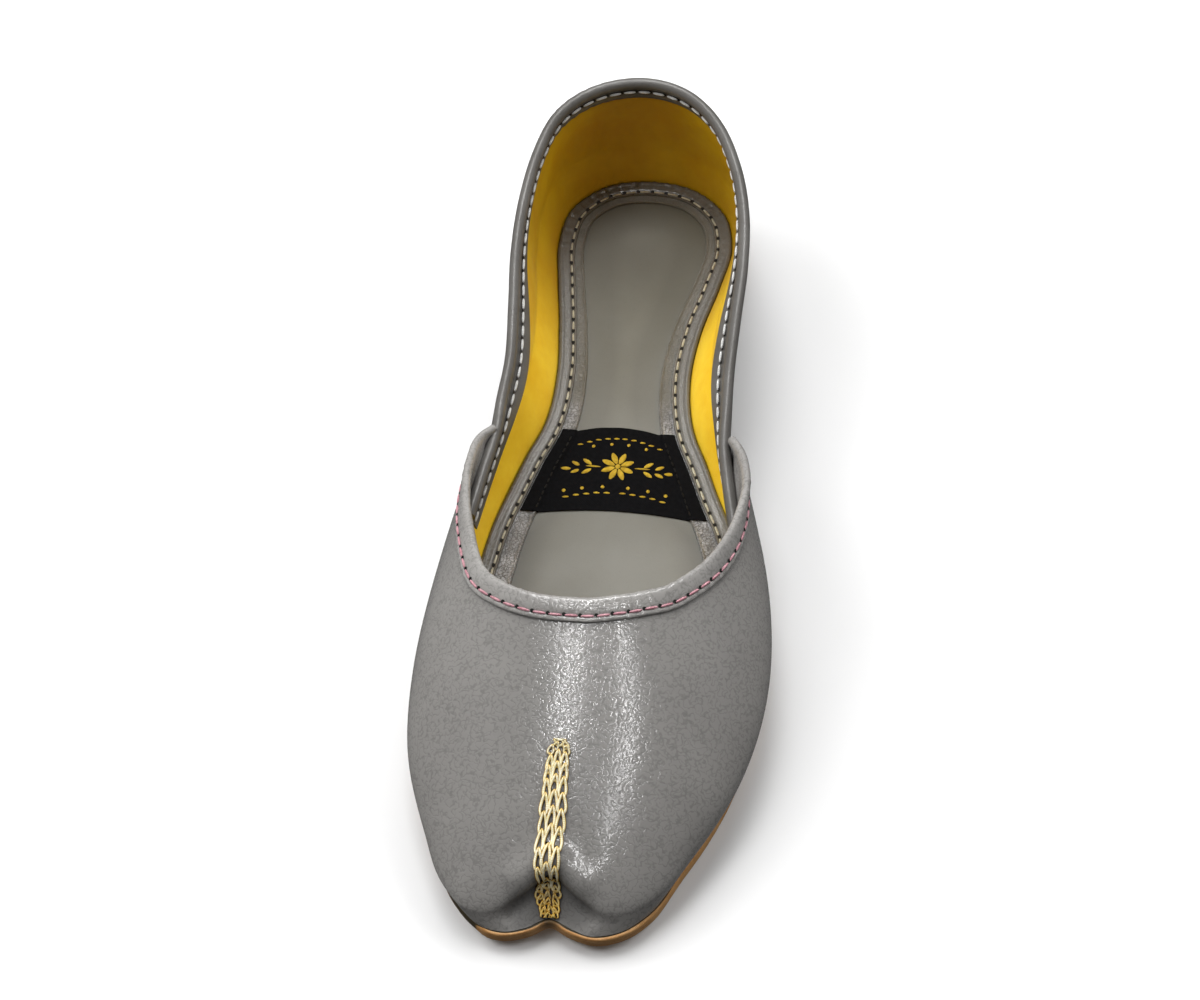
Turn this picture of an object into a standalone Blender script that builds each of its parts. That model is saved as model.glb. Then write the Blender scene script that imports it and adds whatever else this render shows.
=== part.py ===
"""Slip-on ballet flat with a notched toe, right shoe, sample size of 242 mm.

The shoe is worked out from two tables of sections that run round the last, vamp and
quarter.  Each section gives the edge of the sole, the fullest point of the upper
(its belly) and the top edge, in millimetres of the sample last: across from the
centre line (the inner side of the foot is +), along from the toe, and up from the
floor.  The driving sizes grade the tables to the shoe.  The toe points to -Y.
"""
import math

import bmesh
import bpy
import numpy as np
from mathutils import Matrix, Vector
from mathutils.bvhtree import BVHTree

MM = 0.001

# ------------------------------------------------------------ driving sizes, mm
LENGTH = 242.0            # toe to back of collar
BALL_WIDTH = 90.0         # across the upper at the ball
INSTEP = 44.0             # throat edge over the floor, on the centre line
HEEL_HEIGHT = 47.2        # wall's top edge at the back of the heel, over the floor
WALL = 1.5                # leather with its lining
GAP = 0.3                 # between pieces that meet
SOLE_THICK = 3.6
TOE_SPRING = 2.5          # rise of the sole's underside at the toe
SPRING_REACH = 46.0       # how far back from the toe the sole starts to rise
SOLE_MARGIN = 0.4         # sole outside the upper's feather edge
SOLE_ROUND = 0.5          # rounded lower edge of the sole
FOOTBED_INSET = 2.7       # footbed inside the sole's outline
FOOTBED_THICK = 3.6
FOOTBED_TOE = 22.0        # nearer the toe than this the footbed draws in
FOOTBED_TOE_INSET = 8.5   # and by this much at the tip
LAP_BOTTOM = 0.3          # quarter inside the vamp at the feather edge
LAP_MID = 1.2             # quarter inside the vamp at the belly
NOTCH_X = -4.4            # the toe's notch lies a little to the outer side

RIM_HEEL = 6.4            # width of the stitched border strip on the footbed
RIM_FRONT = 8.6
RIM_THICK = 0.9
RIM_FROM = 66.0           # its ends, hidden under the vamp, from the toe
LABEL_THICK = 0.5
ROLL = 1.0                # leather of the two edge bindings
THROAT_BAND = 5.5         # depth of the folded band round the throat
COLLAR_INNER = 4.5        # depth of the collar binding inside the shoe
COLLAR_OUTER = 1.6        # and outside it
CHAIN_WIDTH = 6.3
CHAIN_THICK = 1.1
CHAIN_TOP = 41.0          # where the chain starts, from the toe
CHAIN_END = 5.6           # and where it ends, in the notch

RIB_STEP = 7.0            # aimed distance between sections of the loft
UPPER_STEPS = 8           # steps from top edge to belly
LOWER_STEPS = 3           # steps from belly to sole
TOE_FACET = 12.0          # bellies nearer the toe than this end in a plain facet

# Grading from the sample last, on which the tables below are measured.
ACROSS = BALL_WIDTH / 90.0
ALONG = LENGTH / 242.0
VAMP_UP = INSTEP / 44.0
QUARTER_UP = HEEL_HEIGHT / 47.2

# ------------------------------------------------- sections of the last, vamp
# From the outer wing round the toe to the inner wing.  "full" is the exponent of
# the curve between top edge and belly: smaller is rounder.
VAMP = [
    # name          sole x, along  belly x, along, up   edge x, along, up   full
    ("wing_out",   (-31.2, 134.5), (-36.2, 133.5, 19.0), (-33.3, 130.2, 33.2), 0.70),
    ("side_out",   (-35.6, 120.0), (-38.9, 120.0, 18.5), (-35.3, 119.5, 35.8), 0.66),
    ("joint_out",  (-38.4, 105.0), (-41.4, 105.0, 18.0), (-34.6, 106.5, 38.0), 0.62),
    ("ball_out",   (-40.5, 88.0), (-43.8, 88.0, 17.5), (-32.2, 94.0, 40.3), 0.62),
    ("broad_out",  (-41.5, 66.0), (-45.3, 66.5, 17.0), (-28.0, 82.0, 42.5), 0.62),
    ("little_out", (-40.2, 43.0), (-43.7, 43.0, 15.0), (-21.5, 76.3, 43.5), 0.66),
    ("tip_out",    (-35.4, 23.0), (-37.7, 23.6, 12.0), (-14.5, 73.6, 44.0), 0.70),
    ("corner_out", (-28.9, 9.0), (-30.7, 10.0, 10.4), (-10.2, 73.0, 44.0), 0.76),
    ("lobe_out",   (-22.4, 2.4), (-24.6, 5.0, 9.8), (-7.8, 72.8, 44.0), 0.78),
    ("peak_out",   (-15.8, 0.4), (-17.8, 3.4, 10.2), (-6.4, 72.8, 44.0), 0.78),
    ("flank_out",  (-9.8, 1.9), (-10.8, 7.2, 11.9), (-5.3, 72.8, 44.0), 0.78),
    ("notch",      (NOTCH_X, 5.0), (NOTCH_X, 11.0, 13.8), (NOTCH_X, 72.8, 44.0), 0.78),
    ("flank_in",   (1.2, 2.3), (1.7, 7.6, 11.9), (-3.5, 72.8, 44.0), 0.78),
    ("peak_in",    (7.2, 0.8), (9.8, 4.4, 10.2), (-2.4, 72.8, 44.0), 0.78),
    ("lobe_in",    (13.6, 2.8), (15.8, 6.4, 9.8), (-0.9, 72.8, 44.0), 0.78),
    ("corner_in",  (19.8, 8.4), (21.6, 10.8, 10.4), (1.4, 73.0, 44.0), 0.76),
    ("tip_in",     (26.9, 22.3), (29.3, 22.0, 12.0), (5.7, 73.9, 44.0), 0.70),
    ("little_in",  (35.7, 42.8), (39.7, 42.5, 15.5), (12.7, 76.0, 43.5), 0.66),
    ("broad_in",   (40.9, 66.0), (44.7, 69.0, 17.0), (21.5, 80.6, 42.7), 0.62),
    ("ball_in",    (40.2, 88.0), (43.8, 88.0, 17.5), (29.4, 90.3, 41.0), 0.62),
    ("joint_in",   (37.2, 105.0), (40.9, 105.0, 18.0), (34.2, 103.6, 38.9), 0.62),
    ("side_in",    (33.4, 119.5), (36.9, 119.0, 18.5), (35.5, 118.0, 36.2), 0.66),
    ("wing_in",    (27.4, 134.0), (33.0, 133.5, 19.0), (32.0, 130.2, 34.0), 0.70),
]

# ------------------------------------------------- sections of the last, quarter
# From the outer waist round the heel to the inner waist.
QUARTER = [
    # name           sole x, along   belly x, along, up    edge x, along, up
    ("waist_out",    (-28.7, 141.5), (-32.0, 141.5, 19.0), (-30.2, 141.0, 32.6)),
    ("arch_out",     (-24.6, 152.0), (-29.4, 152.0, 20.0), (-29.9, 152.0, 34.4)),
    ("shank_out",    (-22.4, 168.0), (-27.6, 168.0, 20.0), (-30.6, 168.0, 37.4)),
    ("fore_heel_out", (-23.1, 184.0), (-28.4, 184.0, 20.0), (-31.6, 184.0, 40.4)),
    ("heel_out",     (-25.1, 200.0), (-30.2, 200.0, 20.0), (-31.1, 200.0, 43.2)),
    ("counter_out",  (-26.5, 214.0), (-30.4, 214.0, 20.0), (-28.9, 215.0, 45.2)),
    ("corner_out",   (-24.0, 227.0), (-27.0, 227.5, 20.0), (-24.6, 227.9, 46.4)),
    ("back_out",     (-14.5, 236.5), (-16.6, 238.0, 20.0), (-15.4, 237.0, 47.0)),
    ("back",         (-1.0, 239.6), (-1.6, 241.6, 20.0), (-2.2, 240.7, 47.2)),
    ("back_in",      (13.6, 236.3), (14.8, 237.6, 20.0), (11.4, 236.4, 47.0)),
    ("corner_in",    (22.9, 226.8), (25.0, 227.0, 20.0), (20.4, 226.0, 46.3)),
    ("counter_in",   (25.5, 214.5), (28.0, 214.5, 20.0), (25.8, 213.4, 45.0)),
    ("heel_in",      (23.0, 200.0), (27.4, 200.0, 20.0), (29.0, 199.5, 42.8)),
    ("fore_heel_in", (19.2, 184.0), (24.9, 184.0, 20.0), (29.9, 184.0, 40.0)),
    ("shank_in",     (17.8, 168.0), (23.9, 168.0, 20.0), (29.2, 168.0, 37.2)),
    ("arch_in",      (20.1, 152.0), (25.9, 152.0, 20.0), (28.6, 152.0, 34.2)),
    ("waist_in",     (24.6, 141.0), (29.3, 141.0, 19.0), (28.7, 140.5, 32.8)),
]

# Where the quarter's top edge runs on under the vamp: across, along, up.
LAP_OUT = [("joint_out", (-34.4, 105.5, 30.4)), ("side_out", (-32.2, 119.5, 31.2)),
           ("wing_out", (-29.9, 132.5, 31.8))]
LAP_IN = [("wing_in", (28.8, 132.0, 31.8)), ("side_in", (30.8, 118.5, 31.4)),
          ("joint_in", (33.6, 104.5, 30.6))]
QUARTER_FULL = 0.62

# Label band across the footbed, back edge to front edge: along, outer x, inner x.
LABEL = [(150.0, -16.2, 13.6), (143.0, -18.6, 16.2), (136.0, -20.8, 18.8),
         (129.0, -23.0, 21.3), (123.0, -24.8, 23.4)]
LABEL_EDGE = 4.0          # how much of each side lies on the border strip

COLORS = {
    # name            red,  green, blue, roughness
    "upper_leather": (0.205, 0.195, 0.185, 0.42),
    "sole_leather": (0.36, 0.15, 0.055, 0.60),
    "footbed_leather": (0.235, 0.225, 0.195, 0.55),
    "binding_leather": (0.200, 0.192, 0.182, 0.45),
    "label_cloth": (0.012, 0.012, 0.013, 0.85),
    "gold_thread": (0.72, 0.56, 0.24, 0.35),
}


# ------------------------------------------------------------------- last maths
def toe_lift(along):
    """Rise of the sole at a distance from the toe."""
    return TOE_SPRING * max(0.0, 1.0 - along / SPRING_REACH) ** 2


def seat(along):
    """Height at which the upper and the footbed sit over the sole."""
    return SOLE_THICK + GAP + toe_lift(along)


def spline(knots, values, at):
    """Smooth curve through the values, one tangent a knot from its neighbours."""
    knots = np.asarray(knots, float)
    values = np.asarray(values, float)
    slopes = np.gradient(values, knots, axis=0, edge_order=1)
    i = int(np.clip(np.searchsorted(knots, at, side="right") - 1, 0, len(knots) - 2))
    span = knots[i + 1] - knots[i]
    t = (at - knots[i]) / span
    return ((2 * t ** 3 - 3 * t ** 2 + 1) * values[i]
            + (t ** 3 - 2 * t ** 2 + t) * span * slopes[i]
            + (3 * t ** 2 - 2 * t ** 3) * values[i + 1]
            + (t ** 3 - t ** 2) * span * slopes[i + 1])


def section_row(up, sole, belly, edge, full):
    """One table row, graded to the shoe, as a flat row of numbers."""
    return [sole[0] * ACROSS, sole[1] * ALONG,
            belly[0] * ACROSS, belly[1] * ALONG, belly[2] * up,
            edge[0] * ACROSS, edge[1] * ALONG, edge[2] * up, full]


def vamp_rows():
    return [section_row(VAMP_UP, *row[1:]) for row in VAMP]


def lap_row(name, edge):
    """Quarter's section under the vamp: the vamp's own, moved inwards."""
    sole, belly = next((row[1], row[2]) for row in VAMP if row[0] == name)
    side = 1 if sole[0] > 0 else -1
    return section_row(VAMP_UP, (sole[0] - side * LAP_BOTTOM, sole[1]),
                       (belly[0] - side * LAP_MID, belly[1], belly[2]), edge, QUARTER_FULL)


def quarter_rows():
    rows = [lap_row(*lap) for lap in LAP_OUT]
    rows += [section_row(QUARTER_UP, *row[1:], QUARTER_FULL) for row in QUARTER]
    rows += [lap_row(*lap) for lap in LAP_IN]
    return rows


def fan(rows, step):
    """Sections between the table's rows, about a step apart round the last."""
    rows = np.array(rows)
    reach = np.linalg.norm(np.diff(rows[:, 2:4], axis=0), axis=1)
    knots = np.concatenate([[0.0], np.cumsum(reach)])
    stops = [knots[0]]
    for i, distance in enumerate(reach):
        pieces = max(2, round(distance / step))
        stops += [knots[i] + distance * (k + 1) / pieces for k in range(pieces)]
    return np.array([spline(knots, rows, at) for at in stops])


def rib(row):
    """Points of one section from its top edge over the belly down to the sole."""
    sole, belly, edge, full = row[0:2], row[2:5], row[5:8], row[8]
    points = []
    for i in range(UPPER_STEPS + 1):
        left = (1.0 - i / UPPER_STEPS) ** 1.5
        plan = edge[:2] + (belly[:2] - edge[:2]) * (1.0 - left)
        points.append((plan[0], plan[1], belly[2] + (edge[2] - belly[2]) * left ** full))
    facet = belly[1] < TOE_FACET
    for i in range(1, LOWER_STEPS + 1):
        t = i / LOWER_STEPS
        plan = belly[:2] + (sole - belly[:2]) * t ** (1.1 if facet else 2.0)
        points.append((plan[0], plan[1], belly[2] + (seat(sole[1]) - belly[2]) * t))
    return points


def to_world(point):
    """Millimetres of the tables to metres of the model."""
    return Vector((point[0] * MM, (point[1] - LENGTH / 2) * MM, point[2] * MM))


# --------------------------------------------------------------- mesh functions
def lay_grid(bm, ribs):
    """A grid of faces whose corners are moved onto the points of the ribs."""
    across = len(ribs)
    down = len(ribs[0])
    made = bmesh.ops.create_grid(bm, x_segments=across - 1, y_segments=down - 1, size=1.0)
    for vert in made["verts"]:
        i = round((vert.co.x + 1) / 2 * (across - 1))
        j = round((vert.co.y + 1) / 2 * (down - 1))
        vert.co = to_world(ribs[i][j])


def shell_mesh(name, ribs):
    """The leather wall behind a grid of ribs, never lower than its seat."""
    bm = bmesh.new()
    lay_grid(bm, ribs)
    bmesh.ops.recalc_face_normals(bm, faces=bm.faces)
    middle = sum((vert.co for vert in bm.verts), Vector()) / len(bm.verts)
    facing = sum(face.normal.dot(face.calc_center_median() - middle) for face in bm.faces)
    if facing < 0:
        bmesh.ops.reverse_faces(bm, faces=bm.faces)
    bmesh.ops.solidify(bm, geom=bm.faces[:], thickness=WALL * MM)
    for vert in bm.verts:
        along = vert.co.y / MM + LENGTH / 2
        vert.co.z = max(vert.co.z, seat(along) * MM)
    bmesh.ops.recalc_face_normals(bm, faces=bm.faces)
    mesh = bpy.data.meshes.new(name)
    bm.to_mesh(mesh)
    bm.free()
    return mesh


def material(name):
    red, green, blue, roughness = COLORS[name]
    made = bpy.data.materials.get(name) or bpy.data.materials.new(name)
    made.use_nodes = True
    shader = made.node_tree.nodes["Principled BSDF"]
    shader.inputs["Base Color"].default_value = (red, green, blue, 1.0)
    shader.inputs["Roughness"].default_value = roughness
    shader.inputs["Metallic"].default_value = 0.6 if name == "gold_thread" else 0.0
    made.diffuse_color = (red, green, blue, 1.0)
    return made


def add_object(name, mesh, finish, collection):
    made = bpy.data.objects.new(name, mesh)
    mesh.materials.append(material(finish))
    collection.objects.link(made)
    mesh.shade_smooth()
    mesh.set_sharp_from_angle(angle=math.radians(35))
    return made


def new_collection(name):
    made = bpy.data.collections.new(name)
    bpy.context.scene.collection.children.link(made)
    return made


# ----------------------------------------------------------------------- pieces
def make_upper(shoe, cutters):
    """Vamp and quarter, one hollow leather solid lapped at the wings."""
    vamp = shell_mesh("upper", [rib(row) for row in fan(vamp_rows(), RIB_STEP)])
    quarter = shell_mesh("quarter_form", [rib(row) for row in fan(quarter_rows(), RIB_STEP)])
    upper = add_object("upper", vamp, "upper_leather", shoe)
    form = add_object("quarter_form", quarter, "upper_leather", cutters)
    form.hide_render = True
    form.display_type = "WIRE"
    joined = upper.modifiers.new("lap", "BOOLEAN")
    joined.operation = "UNION"
    joined.solver = "EXACT"
    joined.object = form
    return upper


def sole_line():
    """The feather line all round the shoe: across and along, one closed loop."""
    points = [row[1] for row in VAMP] + [row[1] for row in reversed(QUARTER)]
    points.append(points[0])
    points = np.array(points) * (ACROSS, ALONG)
    reach = np.linalg.norm(np.diff(points, axis=0), axis=1)
    knots = np.concatenate([[0.0], np.cumsum(reach)])
    stops = []
    for i, distance in enumerate(reach):
        pieces = max(2, round(distance / RIB_STEP))
        stops += [knots[i] + distance * k / pieces for k in range(pieces)]
    return np.array([spline(knots, points, at) for at in stops])


def outwards(line):
    """Unit directions away from a closed loop that runs outer side, toe, inner side."""
    run = np.roll(line, -1, axis=0) - np.roll(line, 1, axis=0)
    away = np.column_stack([run[:, 1], -run[:, 0]])
    away /= np.linalg.norm(away, axis=1)[:, None]
    centre = line.mean(axis=0)
    return away if np.sum(away * (line - centre)) > 0 else -away


def flat_form(name, outline, low, high, rounding):
    """A plate with the outline, its lower edge rounded, that rises with the toe."""
    curve = bpy.data.curves.new(name, "CURVE")
    curve.dimensions = "2D"
    curve.fill_mode = "BOTH"
    curve.extrude = (high - low) / 2 * MM
    line = curve.splines.new("POLY")
    line.points.add(len(outline) - 1)
    for point, (x, along) in zip(line.points, outline):
        point.co = (x * MM, (along - LENGTH / 2) * MM, 0.0, 1.0)
    line.use_cyclic_u = True
    holder = bpy.data.objects.new(name, curve)
    bpy.context.scene.collection.objects.link(holder)
    evaluated = holder.evaluated_get(bpy.context.evaluated_depsgraph_get())
    mesh = bpy.data.meshes.new_from_object(evaluated)
    bpy.data.objects.remove(holder, do_unlink=True)
    bm = bmesh.new()
    bm.from_mesh(mesh)
    bmesh.ops.remove_doubles(bm, verts=bm.verts, dist=0.001 * MM)
    bmesh.ops.translate(bm, verts=bm.verts, vec=(0, 0, (low + high) / 2 * MM))
    if rounding:
        rim = [edge for edge in bm.edges if edge.calc_face_angle(0) > math.radians(60)
               and max(v.co.z for v in edge.verts) < (low + 0.1) * MM]
        bmesh.ops.bevel(bm, geom=rim, offset=rounding * MM, segments=1, profile=0.5,
                        affect="EDGES", material=-1)
    for along in range(6, int(SPRING_REACH) + 6, 6):
        bmesh.ops.bisect_plane(bm, geom=bm.verts[:] + bm.edges[:] + bm.faces[:],
                               plane_co=(0, (along - LENGTH / 2) * MM, 0), plane_no=(0, 1, 0))
    for vert in bm.verts:
        vert.co.z += toe_lift(vert.co.y / MM + LENGTH / 2) * MM
    bmesh.ops.recalc_face_normals(bm, faces=bm.faces)
    bm.to_mesh(mesh)
    bm.free()
    return mesh


def make_outsole(shoe):
    line = sole_line()
    mesh = flat_form("outsole", line + outwards(line) * SOLE_MARGIN, 0.0, SOLE_THICK, SOLE_ROUND)
    return add_object("outsole", mesh, "sole_leather", shoe)


def footbed_top(along):
    return seat(along) + FOOTBED_THICK


def make_footbed(shoe):
    line = sole_line()
    low = SOLE_THICK + GAP
    near_toe = np.clip(1.0 - line[:, 1] / FOOTBED_TOE, 0.0, 1.0)
    inset = FOOTBED_INSET - SOLE_MARGIN + FOOTBED_TOE_INSET * near_toe ** 1.5
    outline = line - outwards(line) * inset[:, None]
    mesh = flat_form("footbed", outline, low, low + FOOTBED_THICK, 0.0)
    return add_object("footbed", mesh, "footbed_leather", shoe)


def tube_mesh(name, rings):
    """A closed solid through rings of points, each ring a closed section."""
    bm = bmesh.new()
    lay_grid(bm, [[*ring, ring[0]] for ring in rings])
    bmesh.ops.remove_doubles(bm, verts=bm.verts, dist=0.001 * MM)
    ends = [edge for edge in bm.edges if edge.is_boundary]
    bmesh.ops.holes_fill(bm, edges=ends, sides=0)
    bmesh.ops.recalc_face_normals(bm, faces=bm.faces)
    mesh = bpy.data.meshes.new(name)
    bm.to_mesh(mesh)
    bm.free()
    return mesh


def rim_width(along):
    """The border strip is broader from the heel to the waist and the ball."""
    share = min(1.0, max(0.0, (200.0 - along) / 80.0))
    return RIM_HEEL + (RIM_FRONT - RIM_HEEL) * share


def make_footbed_rim(shoe):
    """Stitched leather strip round the footbed's border, open under the vamp."""
    line = sole_line()
    away = outwards(line)
    toe_points = [i for i, point in enumerate(line) if point[1] < RIM_FROM]
    first = max(toe_points) + 1
    order = [(first + k) % len(line) for k in range(len(line) - len(toe_points))]
    rings = []
    for i in order:
        outer = line[i] - away[i] * (FOOTBED_INSET - SOLE_MARGIN + 0.2)
        inner = line[i] - away[i] * (FOOTBED_INSET - SOLE_MARGIN + rim_width(line[i][1]))
        low = footbed_top(line[i][1]) + GAP
        high = low + RIM_THICK
        middle = outer * 0.55 + inner * 0.45
        rings.append([(*outer, low), (*outer, high - 0.2), (*middle, high), (*inner, high - 0.3),
                      (*inner, low)])
    return add_object("footbed_rim", tube_mesh("footbed_rim", rings), "binding_leather", shoe)


def make_label(shoe):
    """Cloth band across the footbed, its two sides lying on the border strip."""
    rings = []
    for along, left, right in LABEL:
        low = footbed_top(along) + GAP
        side = low + RIM_THICK + GAP
        across = [(left, side), (left + LABEL_EDGE, side), (left + LABEL_EDGE + 1.5, low),
                  (right - LABEL_EDGE - 1.5, low), (right - LABEL_EDGE, side), (right, side)]
        under = [(x, along, z) for x, z in across]
        over = [(x, along, z + LABEL_THICK) for x, z in reversed(across)]
        rings.append(under + over)
    return add_object("label_band", tube_mesh("label_band", rings), "label_cloth", shoe)


def edge_frames(rows):
    """At each section: the wall's top edge, the way out of the wall and the way down."""
    ribs = [rib(row) for row in fan(rows, RIB_STEP)]
    edges = np.array([points[0] for points in ribs])
    downs = np.array([points[1] for points in ribs]) - edges
    downs /= np.linalg.norm(downs, axis=1)[:, None]
    runs = np.gradient(edges, axis=0)
    outs = np.cross(runs, downs)
    outs /= np.linalg.norm(outs, axis=1)[:, None]
    middle = len(edges) // 2
    inside = edges.mean(axis=0)
    if np.dot(outs[middle], edges[middle] - inside) < 0:
        outs = -outs
    return edges, outs, downs


def binding_rings(rows, section):
    """Sweep a section, in distances into the wall and down it, along the top edge."""
    edges, outs, downs = edge_frames(rows)
    return [[edge - out * a + down * b for a, b in section]
            for edge, out, down in zip(edges, outs, downs)]


def make_collar_binding(shoe):
    """Leather rolled over the quarter's top edge, round the heel."""
    outer = -GAP - ROLL
    near = WALL + GAP * 1.8
    inner = near + ROLL
    section = [(outer, COLLAR_OUTER), (outer, -GAP), (outer + ROLL * 0.6, -GAP - ROLL * 0.8),
               (WALL / 2, -GAP - ROLL), (inner - ROLL * 0.6, -GAP - ROLL * 0.8), (inner, -GAP),
               (inner, COLLAR_INNER), (near, COLLAR_INNER), (near, -GAP),
               (-GAP, -GAP), (-GAP, COLLAR_OUTER)]
    mesh = tube_mesh("collar_binding", binding_rings(quarter_rows(), section))
    return add_object("collar_binding", mesh, "binding_leather", shoe)


def make_throat_binding(shoe):
    """Folded leather band outside the vamp's edge, from wing to wing."""
    near = -GAP * 1.6
    outer = near - ROLL
    section = [(outer, THROAT_BAND), (outer, -GAP), (outer + ROLL * 0.6, -GAP - ROLL * 0.8),
               (WALL / 2, -GAP - ROLL), (WALL, -GAP - ROLL * 0.6), (WALL, -GAP),
               (near, -GAP), (near, THROAT_BAND)]
    mesh = tube_mesh("throat_binding", binding_rings(vamp_rows(), section))
    return add_object("throat_binding", mesh, "binding_leather", shoe)


def make_toe_chain(shoe):
    """Strip of metal-thread chain down the middle of the vamp to the notch."""
    bm = bmesh.new()
    lay_grid(bm, [rib(row) for row in fan(vamp_rows(), RIB_STEP)])
    surface = BVHTree.FromBMesh(bm)
    bm.free()
    steps = 22
    rings = []
    for i in range(steps + 1):
        along = CHAIN_TOP + (CHAIN_END - CHAIN_TOP) * i / steps
        half = CHAIN_WIDTH / 2 * min(1.0, 0.55 + 0.25 * i)
        low = []
        for x in (NOTCH_X * ACROSS - half, NOTCH_X * ACROSS, NOTCH_X * ACROSS + half):
            above = Vector((x * MM, (along - LENGTH / 2) * MM, 1.0))
            hit = surface.ray_cast(above, Vector((0, 0, -1)))[0]
            low.append((x, along, hit.z / MM))
        rings.append(low)
    runs = np.gradient(np.array(rings)[:, 1], axis=0)
    closed = []
    for low, run in zip(rings, runs):
        lift = np.array([0.0, run[2], -run[1]]) / np.hypot(run[1], run[2])
        under = [np.array(point) + lift * GAP * 1.4 for point in low]
        over = [np.array(point) + lift * (GAP * 1.4 + CHAIN_THICK) for point in reversed(low)]
        closed.append(under + over)
    return add_object("toe_chain", tube_mesh("toe_chain", closed), "gold_thread", shoe)


def centre_on_floor():
    """Put the middle of the shoe's footprint box at the origin."""
    pieces = [made for made in bpy.data.objects if not made.hide_render]
    corners = [vert.co for made in pieces for vert in made.data.vertices]
    low = Vector([min(co[axis] for co in corners) for axis in range(3)])
    high = Vector([max(co[axis] for co in corners) for axis in range(3)])
    shift = Vector((-(low.x + high.x) / 2, -(low.y + high.y) / 2, -low.z))
    for made in bpy.data.objects:
        made.data.transform(Matrix.Translation(shift))


def main():
    for old in list(bpy.data.objects):
        bpy.data.objects.remove(old, do_unlink=True)
    shoe = new_collection("ballet_flat")
    cutters = new_collection("cutters")
    make_upper(shoe, cutters)
    make_outsole(shoe)
    make_footbed(shoe)
    make_footbed_rim(shoe)
    make_label(shoe)
    make_collar_binding(shoe)
    make_throat_binding(shoe)
    make_toe_chain(shoe)
    centre_on_floor()


main()
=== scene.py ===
"""Looks of the slip-on ballet flat: leather, lining, bindings, stitches, chain and sole.

Shapes are worked out on the sample last, in millimetres: across from the centre line
(the inner side of the foot is +), along from the toe, and up from the floor.  Only
to_frame() turns them into metres of the frame, so every size below is a shoemaker's.
"""
import math

import bmesh
import bpy
import numpy as np
from mathutils import Matrix, Vector
from mathutils.bvhtree import BVHTree


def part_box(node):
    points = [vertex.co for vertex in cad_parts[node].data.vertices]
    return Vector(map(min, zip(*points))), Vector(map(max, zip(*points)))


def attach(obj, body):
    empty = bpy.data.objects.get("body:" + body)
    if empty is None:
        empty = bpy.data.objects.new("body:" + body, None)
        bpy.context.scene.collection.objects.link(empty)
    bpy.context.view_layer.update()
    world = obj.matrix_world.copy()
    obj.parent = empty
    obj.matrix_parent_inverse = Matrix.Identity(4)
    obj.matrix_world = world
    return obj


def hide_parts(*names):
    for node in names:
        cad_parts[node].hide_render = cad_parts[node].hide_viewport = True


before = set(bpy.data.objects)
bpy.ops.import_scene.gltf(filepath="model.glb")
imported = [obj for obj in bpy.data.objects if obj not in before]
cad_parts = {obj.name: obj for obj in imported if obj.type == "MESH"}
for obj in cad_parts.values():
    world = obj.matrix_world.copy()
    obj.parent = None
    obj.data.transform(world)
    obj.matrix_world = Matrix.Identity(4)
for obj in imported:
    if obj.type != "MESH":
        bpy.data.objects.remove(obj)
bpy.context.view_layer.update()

MM = 0.001

# ------------------------------------------------------------------ sizes, mm
SOLE_THICK = 3.6
GAP = 0.3                 # between the CAD pieces that meet
TOE_SPRING = 2.5
SPRING_REACH = 46.0
SOLE_MARGIN = 0.4
FOOTBED_INSET = 2.3       # footbed inside the feather line
FOOTBED_THICK = 3.6
FOOTBED_TOE = 22.0
FOOTBED_TOE_INSET = 8.5
BED_LOW = SOLE_THICK + GAP
BED_TOP = BED_LOW + FOOTBED_THICK

LEATHER = 0.85            # outer leather of the wall
LINING = 0.55             # gold lining behind it
NOTCH_X = -4.4

RIM_FROM = 66.0           # the rim's ends, along
RIM_HEEL = 6.7            # its width at the heel and in front
RIM_FRONT = 8.9
RIM_STITCH = 3.3
RIM_FOLD = 4.3            # width of the folded outer part

STITCH_PITCH = 4.0
SEAM = 0.002              # points nearer than this are one

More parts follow.
